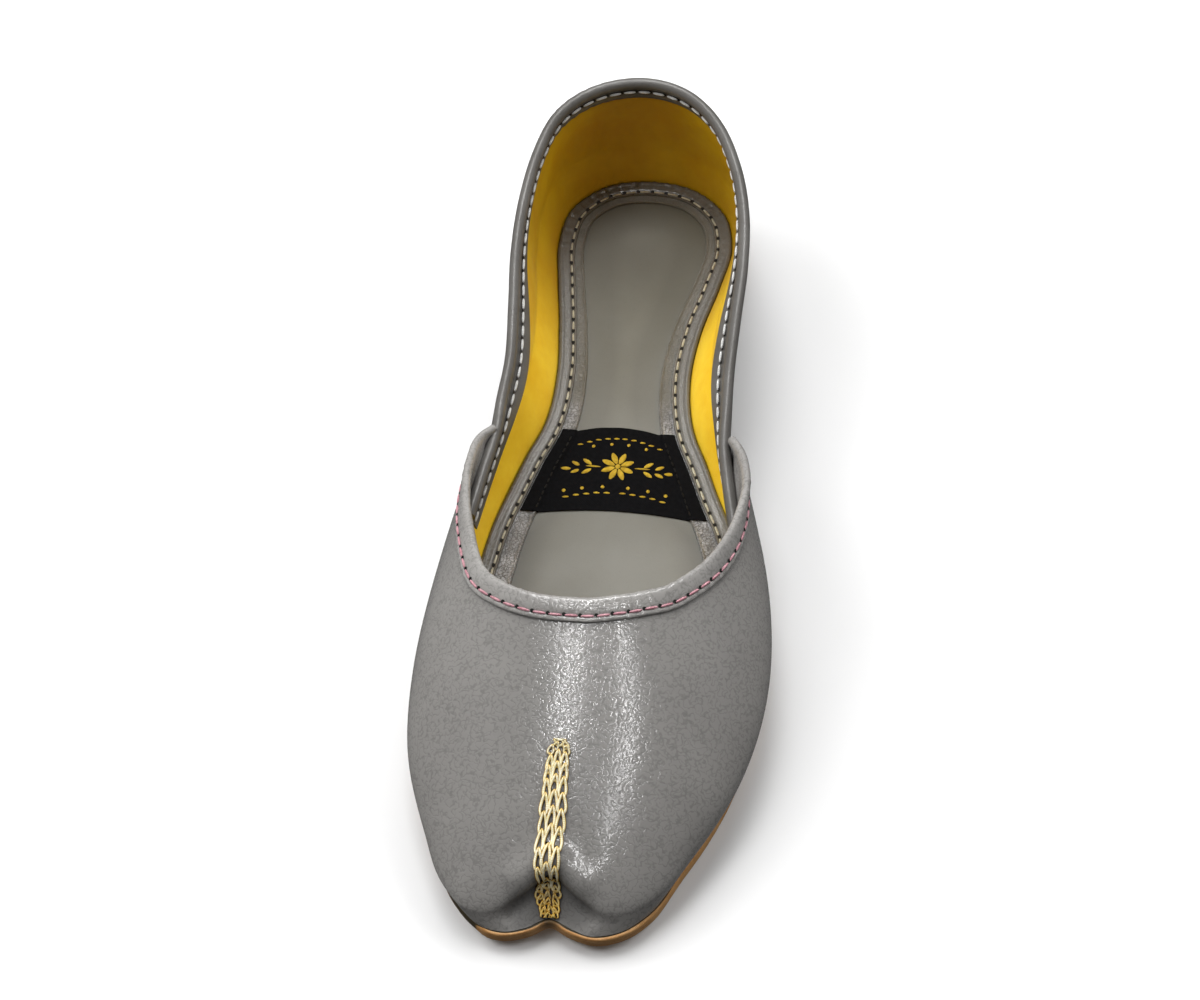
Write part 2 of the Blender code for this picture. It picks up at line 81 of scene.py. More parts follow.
# ------------------------------------------------- sections of the last, vamp
# "full" is the exponent of the curve between top edge and belly.
VAMP = [
    # name, sole (x, along), belly (x, along, up), top edge (x, along, up), full
    ("wing_tip_out", (-31, 135.2), (-36, 134.6, 19), (-31.3, 131.6, 32.9), 0.70),
    ("wing_out", (-32, 131.5), (-36.7, 130.5, 18.9), (-33.9, 128.6, 33.6), 0.70),
    ("side_out", (-35.6, 120), (-38.9, 120, 18.5), (-35.8, 119.5, 35.8), 0.66),
    ("joint_out", (-38.4, 105), (-41.4, 105, 18), (-35.1, 106.5, 38), 0.62),
    ("ball_out", (-40.5, 88), (-43.8, 88, 17.5), (-32.2, 94, 40.3), 0.62),
    ("broad_out", (-41.5, 66), (-45.3, 66.5, 17), (-28, 82, 42.5), 0.62),
    ("little_out", (-40.2, 43), (-43.7, 43, 15), (-21.5, 76.3, 43.5), 0.66),
    ("tip_out", (-35.4, 23), (-37.3, 23.6, 12), (-14.5, 73.6, 44), 0.70),
    ("corner_out", (-28.9, 9), (-30.7, 9.6, 10.4), (-10.2, 73, 44), 0.76),
    ("lobe_out", (-22.4, 2.4), (-25.3, 4.4, 9.8), (-7.8, 72.8, 44), 0.78),
    ("peak_out", (-15.8, 0.4), (-17.8, 3.4, 10.2), (-6.4, 72.8, 44), 0.78),
    ("flank_out", (-9.8, 1.9), (-10.8, 7.2, 11.9), (-5.3, 72.8, 44), 0.78),
    ("notch", (NOTCH_X, 5), (NOTCH_X, 11, 13.8), (NOTCH_X, 72.8, 44), 0.78),
    ("flank_in", (1.2, 2.3), (1.7, 7.6, 11.9), (-3.5, 72.8, 44), 0.78),
    ("peak_in", (7.2, 0.8), (9.8, 4.4, 10.2), (-2.4, 72.8, 44), 0.78),
    ("lobe_in", (13.6, 2.8), (15.8, 6.4, 9.8), (-0.9, 72.8, 44), 0.78),
    ("corner_in", (19.8, 8.4), (21.6, 10.8, 10.4), (1.4, 73, 44), 0.76),
    ("tip_in", (26.9, 22.3), (29.3, 22, 12), (5.7, 73.9, 44), 0.70),
    ("little_in", (35.7, 42.8), (39.7, 42.5, 15.5), (12.7, 76, 43.5), 0.66),
    ("broad_in", (40.9, 66), (44.7, 69, 17), (21.5, 80.6, 42.7), 0.62),
    ("ball_in", (40.2, 88), (43.8, 88, 17.5), (29.4, 90.3, 41), 0.62),
    ("joint_in", (37.2, 105), (40.9, 105, 18), (34.2, 103.6, 38.9), 0.62),
    ("side_in", (33.4, 119.5), (36.9, 119, 18.5), (35.5, 118, 36.2), 0.66),
    ("wing_in", (28.5, 131), (33.9, 130.3, 18.9), (32.6, 128.4, 34.4), 0.70),
    ("wing_tip_in", (27.1, 134.8), (32.8, 134.6, 19), (30.5, 131.6, 33.6), 0.70),
]

# ------------------------------------------------- sections of the last, quarter
QUARTER_FULL = 0.62
QUARTER = [
    # name, sole (x, along), belly (x, along, up), top edge (x, along, up)
    ("under_joint_out", (-38.1, 105), (-40.2, 105, 18), (-34.9, 105.5, 30.4)),
    ("under_side_out", (-35.3, 120), (-37.7, 120, 18.5), (-32.9, 119.5, 31.2)),
    ("under_wing_out", (-30.9, 134.5), (-35, 133.5, 19), (-31, 132.5, 31.8)),
    ("waist_out", (-28.7, 141.5), (-32, 141.5, 19), (-30.8, 141, 32.6)),
    ("arch_out", (-24.6, 152), (-29.4, 152, 20), (-29.9, 152, 34.4)),
    ("shank_out", (-22.4, 168), (-27.6, 168, 20), (-30.6, 168, 37.4)),
    ("fore_heel_out", (-23.1, 184), (-28.4, 184, 20), (-31.6, 184, 40.4)),
    ("heel_out", (-25.1, 200), (-30.2, 200, 20), (-31.1, 200, 43.2)),
    ("counter_out", (-26.5, 214), (-30.4, 214, 20), (-28.9, 215, 45.2)),
    ("corner_out", (-24, 227), (-27, 227.5, 20), (-24.6, 227.9, 46.4)),
    ("back_out", (-14.5, 236.5), (-16.6, 238, 20), (-15.4, 237, 47)),
    ("back", (-1, 239.6), (-1.6, 241.6, 20), (-2.2, 240.7, 47.2)),
    ("back_in", (13.6, 236.3), (14.8, 237.6, 20), (11.4, 236.4, 47)),
    ("corner_in", (22.9, 226.8), (25, 227, 20), (20.4, 226, 46.3)),
    ("counter_in", (25.5, 214.5), (28, 214.5, 20), (25.8, 213.4, 45)),
    ("heel_in", (23, 200), (27.4, 200, 20), (29, 199.5, 42.8)),
    ("fore_heel_in", (19.2, 184), (24.9, 184, 20), (29.9, 184, 40)),
    ("shank_in", (17.8, 168), (23.9, 168, 20), (29.2, 168, 37.2)),
    ("arch_in", (20.1, 152), (25.9, 152, 20), (28.6, 152, 34.2)),
    ("waist_in", (24.6, 141), (29.3, 141, 19), (28.7, 140.5, 32.8)),
    ("under_wing_in", (27.1, 134), (31.8, 133.5, 19), (28.8, 132, 31.8)),
    ("under_side_in", (33.1, 119.5), (35.7, 119, 18.5), (30.8, 118.5, 31.4)),
    ("under_joint_in", (36.9, 105), (39.7, 105, 18), (33.6, 104.5, 30.6)),
]
TOE_FACET = (11, 17)      # bellies nearer the toe than this end in a plain facet

# Middle of the footprint from heel to toe: along, across.
SPINE = [(26, -4), (60, -0.5), (100, 0), (135, -1.5), (165, -2.3), (215, -1)]

# The label band's outer front corner, across and along, and its back edge.
LABEL_CORNER = (-24.8, 123)
LABEL_BACK = 150.0

# ------------------------------------------------------- creases
# Soft hollows (+) and swellings (-) of the vamp: depth, half width, then the points
# across, along, up that they run through.  Each fades out at its last point.
CREASES = [
    ("toe_facet_out", 0.8, 2.8, [(-5.8, 8.2, 10), (-9.8, 5.4, 8.8), (-13.5, 3.4, 7.6),
        (-17, 2.6, 6.8)]),
    ("toe_facet_in", 0.8, 2.8, [(-3, 8.2, 10), (1, 5.6, 8.8), (5, 3.8, 7.6), (8.5, 3.2, 6.8)]),
    ("toe_fold_out", 1.8, 2.1, [(-5.8, 10.8, 13.6), (-9.5, 7.8, 11.2), (-13.5, 5.4, 9),
        (-17.5, 3.9, 7.2), (-20.5, 3.7, 6.4)]),
    ("toe_fold_in", 1.8, 2.1, [(-3, 10.8, 13.6), (0.8, 8.1, 11.2), (5, 5.9, 9), (9, 4.7, 7.4),
        (12.5, 5, 6.6)]),
    ("toe_swell_out", -1.3, 3.6, [(-6.5, 15.2, 17.6), (-11.5, 11.4, 15), (-16.5, 8.4, 12.4)]),
    ("toe_swell_in", -1.3, 3.6, [(-2.4, 15.2, 17.6), (2.8, 11.6, 15), (8.2, 9, 12.4)]),
]


# ------------------------------------------------------------------- last maths
label_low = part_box("label_band")[0]
LAST_ZERO = np.array([label_low.x - LABEL_CORNER[0] * MM, label_low.y - LABEL_CORNER[1] * MM, 0.0])


def to_frame(point):
    """Millimetres on the last to metres of the frame."""
    return Vector(np.asarray(point, float) * MM + LAST_ZERO)


def from_frame(spot):
    return (np.array(spot) - LAST_ZERO) / MM


def toe_lift(along):
    return TOE_SPRING * np.maximum(0.0, 1.0 - along / SPRING_REACH) ** 2


def seat(along):
    """Height at which the upper and the footbed sit over the sole."""
    return SOLE_THICK + GAP + toe_lift(along)


def spline(knots, values, at):
    """Smooth curve through rows of values, one tangent a knot from its neighbours."""
    slopes = np.gradient(values, knots, axis=0, edge_order=1)
    i = np.clip(np.searchsorted(knots, at, side="right") - 1, 0, len(knots) - 2)
    span = (knots[i + 1] - knots[i])[:, None]
    t = (at - knots[i])[:, None] / span
    return ((2 * t ** 3 - 3 * t ** 2 + 1) * values[i] + (t ** 3 - 2 * t ** 2 + t) * span * slopes[i]
            + (3 * t ** 2 - 2 * t ** 3) * values[i + 1] + (t ** 3 - t ** 2) * span * slopes[i + 1])


def distances(points):
    """Length run at each point of a line."""
    steps = np.linalg.norm(np.diff(points, axis=0), axis=1)
    return np.concatenate([[0.0], np.cumsum(steps)])


def rows_at(at, run, rows):
    """Rows of numbers, read at other lengths along their run."""
    return np.column_stack([np.interp(at, run, column) for column in np.asarray(rows).T])


def even(points, step, *others):
    """A line cut into equal steps, with any other rows of numbers that go with it."""
    run = distances(points)
    at = np.linspace(0.0, run[-1], max(2, round(run[-1] / step) + 1))
    cut = [rows_at(at, run, rows) for rows in (points, *others)]
    return cut if others else cut[0]


def unit(rows):
    return rows / np.linalg.norm(rows, axis=-1, keepdims=True)


def ease(low, high, value):
    """0 below low, 1 above high, smooth between."""
    t = np.clip((np.asarray(value, float) - low) / (high - low), 0.0, 1.0)
    return t * t * (3.0 - 2.0 * t)


RIB_CROWDING = 1.5        # a rib's points crowd towards its belly
LOW_TUCK = (1.1, 0.9)     # how the wall tucks under: at the toe, and what the rest adds
LINE_STEP = 0.8
EVEN_REACH = 12           # ribs that share a bend
EVEN_UP = (12.0, 25.0)    # heights between which they begin to
CREASE_END = 0.55         # a crease fades from this share of its length
CREASE_SHADE = 1.5        # how much wider its shade is than its hollow


def rib_grid(table, step, up_steps, low_steps):
    """Outer face of the leather: sections round the last, each from top edge to sole."""
    rows = np.array([[*sole, *belly, *edge, *(full or [QUARTER_FULL])]
                     for _, sole, belly, edge, *full in table])
    run = distances(rows[:, 2:4])
    stops = [np.linspace(run[i], run[i + 1], max(2, round((run[i + 1] - run[i]) / step)),
                         endpoint=False) for i in range(len(run) - 1)]
    rows = spline(run, rows, np.append(np.concatenate(stops), run[-1]))
    sole, belly, edge = rows[:, None, 0:2], rows[:, None, 2:5], rows[:, None, 5:8]
    left = (1.0 - np.linspace(0.0, 1.0, up_steps + 1)) ** RIB_CROWDING
    plan = belly[..., :2] + (edge[..., :2] - belly[..., :2]) * left[None, :, None]
    up = belly[..., 2] + (edge[..., 2] - belly[..., 2]) * left[None, :] ** rows[:, 8:9]
    above = np.dstack([plan, up])
    t = np.linspace(0.0, 1.0, low_steps + 1)[1:]
    tuck = LOW_TUCK[0] + LOW_TUCK[1] * ease(*TOE_FACET, rows[:, 3:4])
    plan = belly[..., :2] + (sole - belly[..., :2]) * (t[None, :] ** tuck)[..., None]
    up = belly[..., 2] + (seat(sole[..., 1]) - belly[..., 2]) * t[None, :]
    return np.concatenate([above, np.dstack([plan, up])], axis=1)


def grid_normals(grid):
    """Directions straight out of a grid's outer face."""
    out = unit(np.cross(np.gradient(grid, axis=0), np.gradient(grid, axis=1)) + 1e-12)
    middle = grid.reshape(-1, 3).mean(axis=0)
    return out if np.sum(out * (grid - middle)) > 0 else -out


def line_reach(points, line):
    """Distance from each point to a line of points, and how far along it that lies, 0 to 1."""
    line = even(np.array(line, float), LINE_STEP)
    gaps = np.linalg.norm(points[..., None, :] - line, axis=-1)
    return gaps.min(axis=-1), gaps.argmin(axis=-1) / (len(line) - 1)


def even_out(grid, reach=EVEN_REACH):
    """Share the bend round the last evenly between its sections, above a height."""
    weights = np.exp(-0.5 * (np.arange(-3 * reach, 3 * reach + 1) / reach) ** 2)
    weights /= weights.sum()

    def soften(rows):
        wide = np.pad(rows, ((3 * reach, 3 * reach), (0, 0), (0, 0)), "reflect", reflect_type="odd")
        return sum(weight * wide[k:k + len(rows)] for k, weight in enumerate(weights))

    once = soften(grid)
    share = ease(*EVEN_UP, grid[..., 2:3])
    share = share * ease(0.0, 8.0, np.arange(grid.shape[1]))[None, :, None]
    return grid + (2.0 * once - soften(once) - grid) * share


def crease(grid, creases):
    """Press the hollows and swellings into a grid; also how hollow each point is."""
    moved = grid.copy()
    hollow = np.zeros(grid.shape[:2])
    for _, depth, half_width, line in creases:
        gap, share = line_reach(moved, line)
        fade = 1.0 - ease(CREASE_END, 1.0, share)
        press = depth * np.exp(-(gap / half_width) ** 2) * fade
        moved -= grid_normals(moved) * press[..., None]
        if depth > 0.0:
            shade_width = CREASE_SHADE * half_width
            hollow = np.maximum(hollow, np.exp(-(gap / shade_width) ** 2) * fade)
    return moved, hollow


# --------------------------------------------------------------- mesh functions
def layer(bm, name):
    """A number kept with each corner under this name."""
    kept = bm.verts.layers.float
    return kept.get(name) or kept.new(name)


def lay_grid(bm, grid, closed=False, marks=None):
    """A grid of faces whose corners are moved onto rows of points, with marks as attributes."""
    sheets = [np.asarray(grid), *(marks or {}).values()]
    if closed:
        sheets = [np.concatenate([rows, rows[:, :1]], axis=1) for rows in sheets]
    grid, *sheets = sheets
    across, down = grid.shape[:2]
    layers = [layer(bm, key) for key in marks or {}]
    made = bmesh.ops.create_grid(bm, x_segments=across - 1, y_segments=down - 1, size=1.0)
    for vert in made["verts"]:
        i = round((vert.co.x + 1) / 2 * (across - 1))
        j = round((vert.co.y + 1) / 2 * (down - 1))
        vert.co = to_frame(grid[i, j])
        for kept, rows in zip(layers, sheets):
            vert[kept] = rows[i, j]


def close_ends(bm, split):
    """Merge a swept shape's seam, close its ends, split them if asked, and turn its faces out."""
    bmesh.ops.remove_doubles(bm, verts=bm.verts, dist=SEAM * MM)
    open_edges = [edge for edge in bm.edges if edge.is_boundary]
    ends = bmesh.ops.holes_fill(bm, edges=open_edges, sides=0)["faces"]
    if split:
        bmesh.ops.triangulate(bm, faces=ends)
    bmesh.ops.recalc_face_normals(bm, faces=bm.faces)


def add_to_scene(name, data):
    made = bpy.data.objects.new(name, data)
    bpy.context.scene.collection.objects.link(made)
    return made


def mesh_of(name, bm, finish):
    mesh = bpy.data.meshes.new(name)
    bm.to_mesh(mesh)
    bm.free()
    mesh.materials.append(finish)
    return mesh


def add_piece(name, bm, finish, nodes, sharp=40):
    """Make the piece, ride it on the shoe and hide the solids it stands for."""
    mesh = mesh_of(name, bm, finish)
    mesh.shade_smooth()
    mesh.set_sharp_from_angle(angle=math.radians(sharp))
    piece = add_to_scene(name, mesh)
    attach(piece, "root")
    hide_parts(*nodes)


class Face:
    """The outer face of vamp or quarter, to lay other things on."""

    def __init__(self, table, step, up_steps, low_steps, creases=()):
        grid = rib_grid(table, step, up_steps, low_steps)
        if creases:
            grid = even_out(grid)
        self.grid, self.hollow = crease(grid, creases)
        bm = bmesh.new()
        lay_grid(bm, self.grid)
        bmesh.ops.recalc_face_normals(bm, faces=bm.faces)
        middle = sum((vert.co for vert in bm.verts), Vector()) / len(bm.verts)
        if sum(face.normal.dot(face.calc_center_median() - middle) for face in bm.faces) < 0:
            bmesh.ops.reverse_faces(bm, faces=bm.faces)
        self.tree = BVHTree.FromBMesh(bm)
        bm.free()

    def near(self, point, height):
        """Nearest place on the face, lifted by a height, and the way out there."""
        spot, out = self.tree.find_nearest(to_frame(point))[:2]
        out = np.array(out)
        return from_frame(spot) + out * height, out

    def under(self, across, along):
        """Place on the face straight under a point of the plan."""
        above = to_frame((across, along, 100.0))
        return from_frame(self.tree.ray_cast(above, Vector((0, 0, -1)))[0])


def edge_frames(grid, step):
    """Along a wall's top edge: its points, the way out of the wall and the way down it."""
    edge = grid[:, 0]
    keep = np.concatenate([[True], np.diff(distances(edge)) > 0.05])
    down = unit(grid[:, 2] - grid[:, 0])
    edge, down = even(edge[keep], step, down[keep])
    on = unit(np.gradient(edge, axis=0))
    down = unit(down - on * np.sum(down * on, axis=1, keepdims=True))
    out = unit(np.cross(on, down))
    middle = len(edge) // 2
    if np.dot(out[middle], edge[middle] - edge.mean(axis=0)) < 0:
        out = -out
    return edge, out, down


def sweep(name, rings, finish, nodes, sharp=40, marks=None, split=False):
    """A closed solid through rings of points, each ring a closed section."""
    bm = bmesh.new()
    lay_grid(bm, rings, closed=True, marks=marks)
    close_ends(bm, split)
    add_piece(name, bm, finish, nodes, sharp)


def leather_wall(name, grid, thick, finish, hollow=None):
    """Leather of one thickness behind an outer face, never lower than its seat."""
    inner = grid - grid_normals(grid) * thick
    rings = np.concatenate([grid, inner[:, ::-1]], axis=1)
    rings[..., 2] = np.maximum(rings[..., 2], seat(rings[..., 1]))
    marks = None
    if hollow is not None:
        marks = {"hollow": np.concatenate([hollow, hollow[:, ::-1]], axis=1)}
    sweep(name, rings, finish, ["upper"], marks=marks)


# ---------------------------------------------------------------- shader nodes
def node(kind, inputs, beside=None, **settings):
    """A node in the tree of the sockets that feed it, or beside another socket: its settings,
    and values or links for its inputs."""
    sockets = [value for value in inputs.values() if isinstance(value, bpy.types.NodeSocket)]
    tree = (beside or sockets[0]).id_data
    made = tree.nodes.new(kind)
    for key, value in settings.items():
        setattr(made, key, value)
    for key, value in inputs.items():
        if isinstance(value, bpy.types.NodeSocket):
            tree.links.new(value, made.inputs[key])
        elif made.inputs[key].type == "RGBA":
            made.inputs[key].default_value = (*value, 1.0)
        else:
            made.inputs[key].default_value = value
    return made


def maths(operation, first, second=0.0, third=0.0):
    return node("ShaderNodeMath", {0: first, 1: second, 2: third}, operation=operation).outputs[0]


def vectors(operation, first, second):
    return node("ShaderNodeVectorMath", {0: first, 1: second}, operation=operation).outputs


def blend(share, first, second, kind="MIX"):
    return node("ShaderNodeMix", {0: share, 6: first, 7: second}, data_type="RGBA",
                blend_type=kind).outputs[2]


def shade(tone, by):
    """A tone multiplied by another colour or by a mask."""
    return blend(1.0, tone, by, "MULTIPLY")


def span(value, low, high, to_low=0.0, to_high=1.0):
    """Smooth step of a value from one span to another."""
    inputs = {"Value": value, "From Min": low, "From Max": high, "To Min": to_low,
              "To Max": to_high}
    made = node("ShaderNodeMapRange", inputs, interpolation_type="SMOOTHSTEP")
    return made.outputs["Result"]


def attribute(name, beside):
    return node("ShaderNodeAttribute", {}, beside, attribute_name=name).outputs["Fac"]


def axis(where, letter):
    return node("ShaderNodeSeparateXYZ", {"Vector": where}).outputs[letter]


def span_along(where, start, end, to_low=0.0, to_high=1.0):
    """Smooth step from one distance along the shoe to another."""
    low, high = (to_frame((0, along, 0)).y for along in (start, end))
    return span(axis(where, "Y"), low, high, to_low, to_high)


def noise(where, scale, detail=0.0, roughness=0.5, distortion=0.0):
    inputs = {"Vector": where, "Scale": scale, "Detail": detail, "Roughness": roughness,
              "Distortion": distortion}
    return node("ShaderNodeTexNoise", inputs).outputs


def per_mm(size):
    """A texture's scale for a size in mm."""
    return maths("DIVIDE", 1.0 / MM, size)


# -------------------------------------------------------------- shared effects
SOCKETS = {type(None): "NodeSocketVector", float: "NodeSocketFloat", tuple: "NodeSocketColor"}


def effect(build, inputs, outputs):
    """A node group named after its function: inputs with their usual values (none for a
    vector), and outputs that the function gives in this order."""
    group = bpy.data.node_groups.new(build.__name__, "ShaderNodeTree")
    for label, value in inputs.items():
        socket = group.interface.new_socket(name=label, in_out="INPUT",
                                            socket_type=SOCKETS[type(value)])
        if value is not None:
            socket.default_value = (*value, 1.0) if type(value) is tuple else value
    for label in outputs:
        kind = SOCKETS[tuple] if label == "Color" else SOCKETS[float]
        group.interface.new_socket(name=label, in_out="OUTPUT", socket_type=kind)
    enter = group.nodes.new("NodeGroupInput").outputs
    leave = group.nodes.new("NodeGroupOutput").inputs
    for label, result in zip(outputs, build(enter)):
        group.links.new(result, leave[label])
    return group


def leather_grain(enter):
    """Pebbles with fine wrinkles between them, as a height."""
    where = enter["Vector"]
    pebble_scale = per_mm(enter["Pebble mm"])
    drift = vectors("SUBTRACT", noise(where, pebble_scale)["Color"], (0.5, 0.5, 0.5))
    push = vectors("MULTIPLY", drift[0], (0.4 * MM, 0.4 * MM, 0.4 * MM))
    warped = vectors("ADD", where, push[0])[0]
    pebble = node("ShaderNodeTexVoronoi", {"Vector": warped, "Scale": pebble_scale,
                                           "Smoothness": 0.6}, feature="SMOOTH_F1")
    wrinkle = noise(warped, per_mm(enter["Wrinkle mm"]), distortion=0.6)["Fac"]
    level = maths("MULTIPLY", maths("SUBTRACT", wrinkle, 0.5), 10.0)
    valley = maths("DIVIDE", 1.0, maths("MULTIPLY_ADD", level, level, 1.0))
    ridge = maths("SUBTRACT", 1.0, valley)
    middle = pebble.outputs["Distance"]
    round_top = maths("SUBTRACT", 1.0, maths("MULTIPLY", middle, middle))
    other = maths("SUBTRACT", 1.0, enter["Wrinkle share"])
    return [maths("ADD", maths("MULTIPLY", ridge, enter["Wrinkle share"]),
                  maths("MULTIPLY", round_top, other))]


def mottle(enter):
    """Cloudy change between two colours, as in drum-dyed leather."""
    cloud = noise(enter["Vector"], per_mm(enter["Cloud mm"]), 4.0, 0.6)["Fac"]
    share = span(cloud, 0.3, 0.7)
    return blend(share, enter["Dark"], enter["Light"]), share


def thread_twist(enter):
    """Plies of a twisted thread, as a height, from the thread's own turn attribute."""
    wave = maths("SINE", maths("MULTIPLY", enter["Turn"], enter["Plies"]))
    return [maths("ABSOLUTE", wave)]


def cloth_weave(enter):
    """Warp and weft crossing one over one, as a height, and its fuzz."""
    scale = maths("DIVIDE", math.pi / MM, enter["Pitch mm"])
    ways = [maths("MULTIPLY", axis(enter["Vector"], way), scale) for way in "XY"]
    warp, weft = (maths("SINE", way) for way in ways)
    fuzz = noise(enter["Vector"], 900.0, 3.0)["Fac"]
    return maths("MULTIPLY", maths("MULTIPLY", warp, weft), 0.5), fuzz


def foil_crackle(enter):
    """Crinkled facets of a metallised leather: a height, and the cracks between them."""
    where = enter["Vector"]
    scale = per_mm(enter["Facet mm"])
    warp = noise(where, scale, 2.0)["Color"]
    push = vectors("MULTIPLY", warp, (1.2 * MM, 1.2 * MM, 1.2 * MM))[0]
    moved = vectors("ADD", where, push)[0]
    facets = node("ShaderNodeTexVoronoi", {"Vector": moved, "Scale": scale},
                  feature="DISTANCE_TO_EDGE")
    folds = noise(moved, scale, 4.0, 0.65)["Fac"]
    edge = span(facets.outputs["Distance"], 0.0, 0.12)
    height = maths("ADD", maths("MULTIPLY", edge, 0.3), folds)
    return height, maths("SUBTRACT", 1.0, edge)


def cut_edge(enter):
    """Fibres and layers along a cut edge of leather: a height, and a tone from dark to light."""
    flat = vectors("MULTIPLY", enter["Vector"], (0.12, 0.12, 1.0))[0]
    layers = noise(flat, per_mm(enter["Layer mm"]), 3.0, 0.7)["Fac"]
    fibres = noise(enter["Vector"], 2600.0, 2.0)["Fac"]
    tone = maths("ADD", maths("MULTIPLY", layers, 0.7), maths("MULTIPLY", fibres, 0.3))
    return tone, span(tone, 0.35, 0.65)


LEATHER_GRAIN = effect(leather_grain, {"Vector": None, "Pebble mm": 0.8, "Wrinkle mm": 1.4,
                                       "Wrinkle share": 0.5}, ["Height"])
MOTTLE = effect(mottle, {"Vector": None, "Cloud mm": 20.0, "Dark": (0, 0, 0),
                         "Light": (1, 1, 1)}, ["Color", "Fac"])
THREAD_TWIST = effect(thread_twist, {"Turn": 0.0, "Plies": 2.0}, ["Height"])
CLOTH_WEAVE = effect(cloth_weave, {"Vector": None, "Pitch mm": 0.4}, ["Height", "Fac"])
FOIL_CRACKLE = effect(foil_crackle, {"Vector": None, "Facet mm": 1.2}, ["Height", "Cracks"])
CUT_EDGE = effect(cut_edge, {"Vector": None, "Layer mm": 0.5}, ["Height", "Tone"])


# -------------------------------------------------------------------- finishes
def place(group, **values):
    """Put a shared effect in a material with its own values."""
    inputs = {key.replace("_", " "): value for key, value in values.items()}
    return node("ShaderNodeGroup", inputs, node_tree=group).outputs


def mottled(where, cloud, dark, light):
    """The mottle between two colours, with clouds of a size in mm."""
    return place(MOTTLE, Vector=where, Cloud_mm=cloud, Dark=dark, Light=light)


def new_finish(name, roughness=0.5):
    """A material with its shader and object coordinates."""
    finish = bpy.data.materials.new(name)
    finish.use_nodes = True
    shader = finish.node_tree.nodes["Principled BSDF"]
    shader.inputs["Roughness"].default_value = roughness
    where = node("ShaderNodeTexCoord", {}, shader.inputs[0]).outputs["Object"]
    return finish, shader, where


def feed(shader, key, socket):
    shader.id_data.links.new(socket, shader.inputs[key])


def dress(shader, tone, height=None, depth=0.0):
    """Give a shader its colour and its relief, a bump of a depth in mm."""
    feed(shader, "Base Color", tone)
    if height is not None:
        made = node("ShaderNodeBump", {"Height": height, "Distance": depth * MM})
        feed(shader, "Normal", made.outputs["Normal"])


def darkened_heel(where, tone, start, wear_and_shade_tint):
    """Painted shade: a tone that darkens towards the heel, where the heel's walls shade the inside.
    """
    heel = span_along(where, start, HEEL_SHADE_BY)
    return blend(heel, tone, shade(tone, wear_and_shade_tint))


SIDE_SHADE = (7.5, 19.0)       # mm in from the footbed's edge
SIDE_TONE = 0.62
VAMP_SHADE = (97.0, 125.0)     # the vamp shades the bed in front of this
OPEN_TONE = 0.86


def shaded_sides(where, tone):
    """A tone that is dark beside the rim, most of all under the vamp."""
    inside = span(attribute("under", where), *SIDE_SHADE, SIDE_TONE, 1.0)
    behind = span_along(where, *VAMP_SHADE, 0.0, OPEN_TONE)
    return shade(tone, maths("MAXIMUM", inside, behind))


PORES = (0.20, 0.62)           # heights of the grain between which its pores darken
CREASE_ROUGHNESS = 0.55
GLOSS_CHANGE = 0.04            # of the roughness, from cloud to cloud
HEEL_SHADE_FROM = 138.0            # painted shade darkens the bed from here on, and the lining
LINING_HEEL_SHADE_FROM = 165.0
HEEL_SHADE_BY = 200.0


def grained_leather(name, dark, light, grain, depth, roughness, cloud=22.0, pore=0.86, wear_and_shade_tint=None,
                    crease_painted_shade=1.0):
    """Dyed leather: mottled colour, gloss that changes with the clouds, and grain (pebble mm,
    wrinkle mm, wrinkle share) of a depth; it may take painted shade towards the heel, beside the
    rim and in the creases."""
    finish, shader, where = new_finish(name)
    tone = mottled(where, cloud, dark, light)
    pebble, wrinkle, share = grain
    relief = place(LEATHER_GRAIN, Vector=where, Pebble_mm=pebble, Wrinkle_mm=wrinkle,
                   Wrinkle_share=share)["Height"]
    pores = span(relief, *PORES, pore, 1.0)
    gloss = span(tone["Fac"], 0.0, 1.0, roughness + GLOSS_CHANGE, roughness - GLOSS_CHANGE)
    if crease_painted_shade < 1.0:
        hollow = attribute("hollow", where)
        # Painted shade darkens the creases.
        pores = maths("MULTIPLY", pores, span(hollow, 0.1, 1.0, 1.0, crease_painted_shade))
        gloss = maths("MAXIMUM", gloss, span(hollow, 0.0, 0.5, 0.0, CREASE_ROUGHNESS))
    shaded = shade(tone["Color"], pores)
    # Painted shade towards the heel and beside the rim.
    if wear_and_shade_tint:
        heel_shaded = darkened_heel(where, shaded, HEEL_SHADE_FROM, wear_and_shade_tint)
        shaded = shaded_sides(where, heel_shaded)
    feed(shader, "Roughness", gloss)
    dress(shader, shaded, relief, depth)
    return finish


def sole_edge_leather():
    """Tan sole leather with a fibrous cut edge, dark where the upper stands on it (an adhesive line
    with painted shade) and round the notch (painted shade).
    """
    finish, shader, where = new_finish("sole_leather_cut", 0.6)
    edge = place(CUT_EDGE, Vector=where, Layer_mm=0.45)
    tone = mottled(where, 7.0, (0.35, 0.155, 0.042), (0.54, 0.262, 0.082))
    wear_and_shade_tint = blend(edge["Tone"], tone["Color"], (0.60, 0.34, 0.135))
    high = span(axis(where, "Z"), 2.0 * MM, 3.2 * MM)
    # An adhesive line where the upper stands on the sole, with painted shade under the upper's
    # edge.
    glue_and_shade = maths("MULTIPLY", span(attribute("under", where), -0.25, -0.05), high)
    notch = to_frame((NOTCH_X, 5.5, SOLE_THICK + TOE_SPRING))
    reach = vectors("DISTANCE", where, notch)["Value"]
    # Painted shade round the toe's notch.
    notch_shade = span(reach, 1.5 * MM, 5.0 * MM, 0.75, 0.0)
    dark = maths("MAXIMUM", glue_and_shade, notch_shade)
    dress(shader, blend(dark, wear_and_shade_tint, (0.045, 0.032, 0.010)), edge["Height"], 0.12)
    return finish


